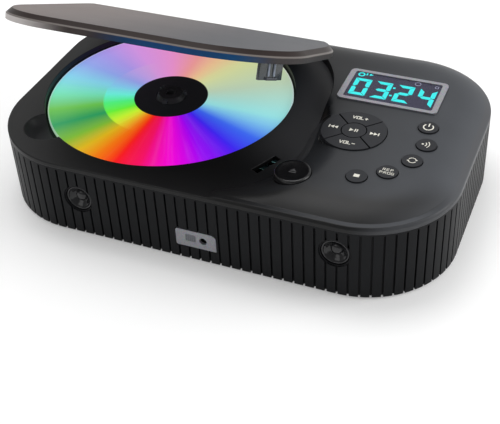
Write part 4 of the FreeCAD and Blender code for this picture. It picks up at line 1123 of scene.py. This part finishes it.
keyMarks = {
    "play_key": [triangle(-2.0, 1.9, 1.1), bar(0.35, 0.85, -1.05, 1.05), bar(1.3, 1.8, -1.05, 1.05)],
    "next_key": [triangle(-2.5, 1.8, 1.05), triangle(-0.7, 1.8, 1.05), bar(1.25, 1.75, -1.05, 1.05)],
    "previous_key": [triangle(2.5, -1.8, 1.05), triangle(0.7, -1.8, 1.05),
                     bar(-1.75, -1.25, -1.05, 1.05)],
    "volume_up_key": lettering("VOL+", 0, 0, 1.3, 1.8, 0.2, 0.6),
    "volume_down_key": lettering("VOL-", 0, 0, 1.3, 1.8, 0.2, 0.6),
    "power_key": [ringSector(2.5, 1.9, -230, 50), bar(-0.3, 0.3, 0.4, 2.9)],
    "source_key": [circleOutline(-1.7, 0, 0.5, 20), ringSector(1.9, 1.5, -48, 48, -1.7),
                   ringSector(3.2, 2.8, -44, 44, -1.7)],
    "mode_key": [ringSector(1.9, 1.5, 20, 160), ringSector(1.9, 1.5, 200, 340),
                 [(1.1, 0.75), (2.4, 0.75), (1.75, -0.1)], [(-2.4, -0.75), (-1.1, -0.75), (-1.75, 0.1)]],
    "program_key": (lettering("REP", 0, 1.15, 1.1, 1.4, 0.11, 0.6)
                    + lettering("PROG", 0, -1.15, 1.1, 1.4, 0.11, 0.6)),
    "stop_key": [bar(-1.25, 1.25, -1.0, 1.0)],
}


def markPiece(name, shapes, middle, height, body, slot, finish):
    forms = []
    for index, shape in enumerate(shapes):
        outline = [(middle[0] + x * mm, middle[1] + y * mm) for x, y in shape]
        top = height + (0.03 + 0.001 * (index % 7)) * mm  # strokes that cross don't share a plane
        forms.append(prismForm(outline, height - 0.02 * mm, top))
    return makePiece(name, *joined(forms), body, slot, finish)


for key, shapes in keyMarks.items():
    middle = nodeMiddle(key)
    markName = "mark" + "".join(word.capitalize() for word in key.split("_"))
    place = (middle.x, middle.y)
    markPiece(markName, shapes, place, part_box(key)[1].z, key, "key_plastic", legendWhite)
print("keys are marked")


# display: lit clock figures and small signs on the window

clockFacts = {
    "width": 8.0, "tall": 14.4, "stroke": 2.15, "gap": 0.16, "middle": (0, 27.3 * mm),
    "figures": (("0", 46.9), ("3", 57.2), ("2", 67.9), ("4", 78.6)),
    "dots": ((62.5, 3.6), (62.5, -3.0)), "dotHalf": 0.6,
    "lit": [*fullRing(1.75, 1.0, 44.4, 10.6), [(48.2, 10.4), (48.2, 12.4), (50.0, 11.4)],
            bar(46.6, 47.3, 10.5, 12.3)],
    "faint": [*fullRing(1.5, 1.2, 72.2, 10.5), bar(80.6, 82.2, 10.9, 11.15), bar(80.6, 82.2, 9.3, 9.55),
              bar(80.6, 80.85, 9.55, 10.9), bar(81.95, 82.2, 9.55, 10.9)],
}
segmentSets = {"0": "abcdef", "2": "abdeg", "3": "abcdg", "4": "bcfg"}


def segmentOutline(letter, facts):
    halfWidth, halfTall = facts["width"] / 2, facts["tall"] / 2
    stroke, gap = facts["stroke"], facts["gap"]
    nib = stroke / 2
    if letter == "g":
        reach = halfWidth - stroke - gap
        east = [(reach, nib), (halfWidth - nib - gap, 0), (reach, -nib)]
        return [(-x, -y) for x, y in east] + east
    if letter in "ad":
        way = 1 if letter == "a" else -1
        outer, inner = way * halfTall, way * (halfTall - stroke)
        return [(-halfWidth + gap, outer), (halfWidth - gap, outer), (halfWidth - stroke - gap, inner),
                (-halfWidth + stroke + gap, inner)]
    side = 1 if letter in "bc" else -1
    way = 1 if letter in "bf" else -1
    return [(side * x, way * y) for x, y in (
        (halfWidth, halfTall - gap), (halfWidth, nib * 0.4 + gap), (halfWidth - nib, gap),
        (halfWidth - stroke, nib + gap), (halfWidth - stroke, halfTall - stroke - gap))]


def clockFigures(facts):
    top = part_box("display_window")[1].z
    half = facts["dotHalf"]
    figures = [[(x + px, py) for px, py in segmentOutline(letter, facts)]
               for figure, x in facts["figures"] for letter in segmentSets[figure]]
    figures += [bar(x - half, x + half, y - half, y + half) for x, y in facts["dots"]]
    for name, shapes, ink in (("clockFigures", figures, digitGlow), ("litSigns", facts["lit"], digitGlow),
                              ("faintSigns", facts["faint"], faintSegments)):
        markPiece(name, shapes, facts["middle"], top, "case", "window_glass", ink)


clockFigures(clockFacts)
print("display is lit")


# lid's catch: a clear tab with a foot and two ribs, built shut and then raised with the lid

catchFacts = {  # inner and outer reach, half width, bottom and top, and shift across, in mm
    "tab": [(0, 1.6, 6.9, 30.3, 41.6, 0), (1.4, 2.6, 3.25, 30.3, 31.6, 0)],
    "ribs": [(1.5, 2.2, 0.5, 31.9, 41.5, -1.6), (1.5, 2.2, 0.5, 31.9, 41.5, 1.6)],
}


def raised(point, hinge):
    turn = math.radians(hinge["rise"])
    y, z = point[1] - hinge["y"], point[2] - hinge["z"]
    return (point[0], hinge["y"] + y * math.cos(turn) + z * math.sin(turn),
            hinge["z"] - y * math.sin(turn) + z * math.cos(turn))


def catchForm(blocks, hook, hinge):
    forms = []
    for inner, outer, half, low, high, shift in blocks:
        corners = bar(hook["radius"] + inner, hook["radius"] + outer, shift - half, shift + half)
        outline = [hookPoint(along, across, hook) for along, across in corners]
        forms.append(prismForm(outline, low * mm, high * mm))
    points, faces = joined(forms)
    return [raised(point, hinge) for point in points], faces


def lidCatch(facts, hook, hinge):
    tab = softened("lidCatch", catchForm(facts["tab"], hook, hinge), 0.25 * mm, 3, "lid", "hook_smoke")
    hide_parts("latch_hook")
    softened("lidCatchRibs", catchForm(facts["ribs"], hook, hinge), 0.2 * mm, 3,
             "lid", "hook_smoke", ribGlow)


lidCatch(catchFacts, hookFacts, lidHinge)


# open button: rounded edge, shallow dish and a raised sign

buttonFacts = {  # radius in mm and depth below the top
    "face": [(0, 0.55), (3, 0.5), (5.2, 0.32), (6.2, 0.12), (6.8, 0), (7.3, 0), (7.75, 0.18), (8, 0.6)],
    "skirt": 39.6 * mm, "stem": 2 * mm,
    "sign": [[(-1.6, 0.2), (1.6, 0.2), (0, 2.0)], bar(-1.6, 1.6, -0.9, -0.3)], "signDepth": 0.53 * mm,
}


def openButton(facts):
    low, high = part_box("open_button")
    middle = nodeMiddle("open_button")
    profile = [(radius * mm, high.z - depth * mm) for radius, depth in facts["face"]]
    profile += [(profile[-1][0], facts["skirt"]), (facts["stem"], facts["skirt"]), (facts["stem"], low.z),
                (0, low.z)]
    cap = makePiece("openButton", *latheForm(profile, 96, (middle.x, middle.y, 0)), "open_button",
                    "button_plastic", smooth=40)
    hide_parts("open_button")
    markPiece("openSign", facts["sign"], (middle.x, middle.y), high.z - facts["signDepth"], "open_button",
              "button_plastic", buttonMark)


openButton(buttonFacts)
print("lid catch and open button are in")


# floor and world

def rays(paint, *kinds):
    # 1 for a ray of any of these kinds
    total = sum(paint.add("ShaderNodeLightPath", output=f"Is {kind} Ray") for kind in kinds)
    return total.clipped()


def makeFloor(facts):
    half, count = facts["floorHalf"], facts["floorGrid"]
    drop = cadBox[0][2] - 0.02 * mm
    ticks = [half * (2 * step / count - 1) for step in range(count + 1)]
    starts = [j * (count + 1) + i for j in range(count) for i in range(count)]
    mesh = bpy.data.meshes.new("studioFloor")
    mesh.from_pydata([(x, y, drop) for y in ticks for x in ticks], [],
                     [(at, at + 1, at + count + 2, at + count + 1) for at in starts])
    floor = looseObject("studioFloor", mesh)
    paper = Finish("studioPaper")
    fibre = paper.mix(paper.noise(paper.place(), 300, 3), (0.9, 0.9, 0.9, 1), (0.93, 0.93, 0.93, 1))
    matte = paper.add("ShaderNodeBsdfDiffuse", {}, {"Color": fibre})
    glow = paper.add("ShaderNodeEmission", {}, {"Color": (1, 1, 1, 1), "Strength": facts["floorWhite"]})
    share = rays(paper, "Camera", "Glossy", "Transmission") * facts["floorGlow"]
    paper.close(paper.add("ShaderNodeMixShader", {}, {0: share, 1: matte, 2: glow}))
    floor.data.materials.append(paper.material)


def makeWorld(facts):
    # white to look at; it lights the player a little more from behind than from in front
    room = Finish("studioWorld", world=True)
    scene.world = room.material
    front, back, white = [room.add("ShaderNodeBackground", {}, {"Color": (1, 1, 1, 1), "Strength": level})
                          for level in facts["worldLevels"]]
    depth = room.axes(room.add("ShaderNodeTexCoord", output="Generated"))[1]
    lit = room.add("ShaderNodeMixShader", {}, {0: depth.eased(*facts["worldFade"]), 1: front, 2: back})
    seen = rays(room, "Camera", "Transmission")
    room.close(room.add("ShaderNodeMixShader", {}, {0: seen, 1: lit, 2: white}))


makeFloor(studio)
makeWorld(studio)
print("studio is lit")
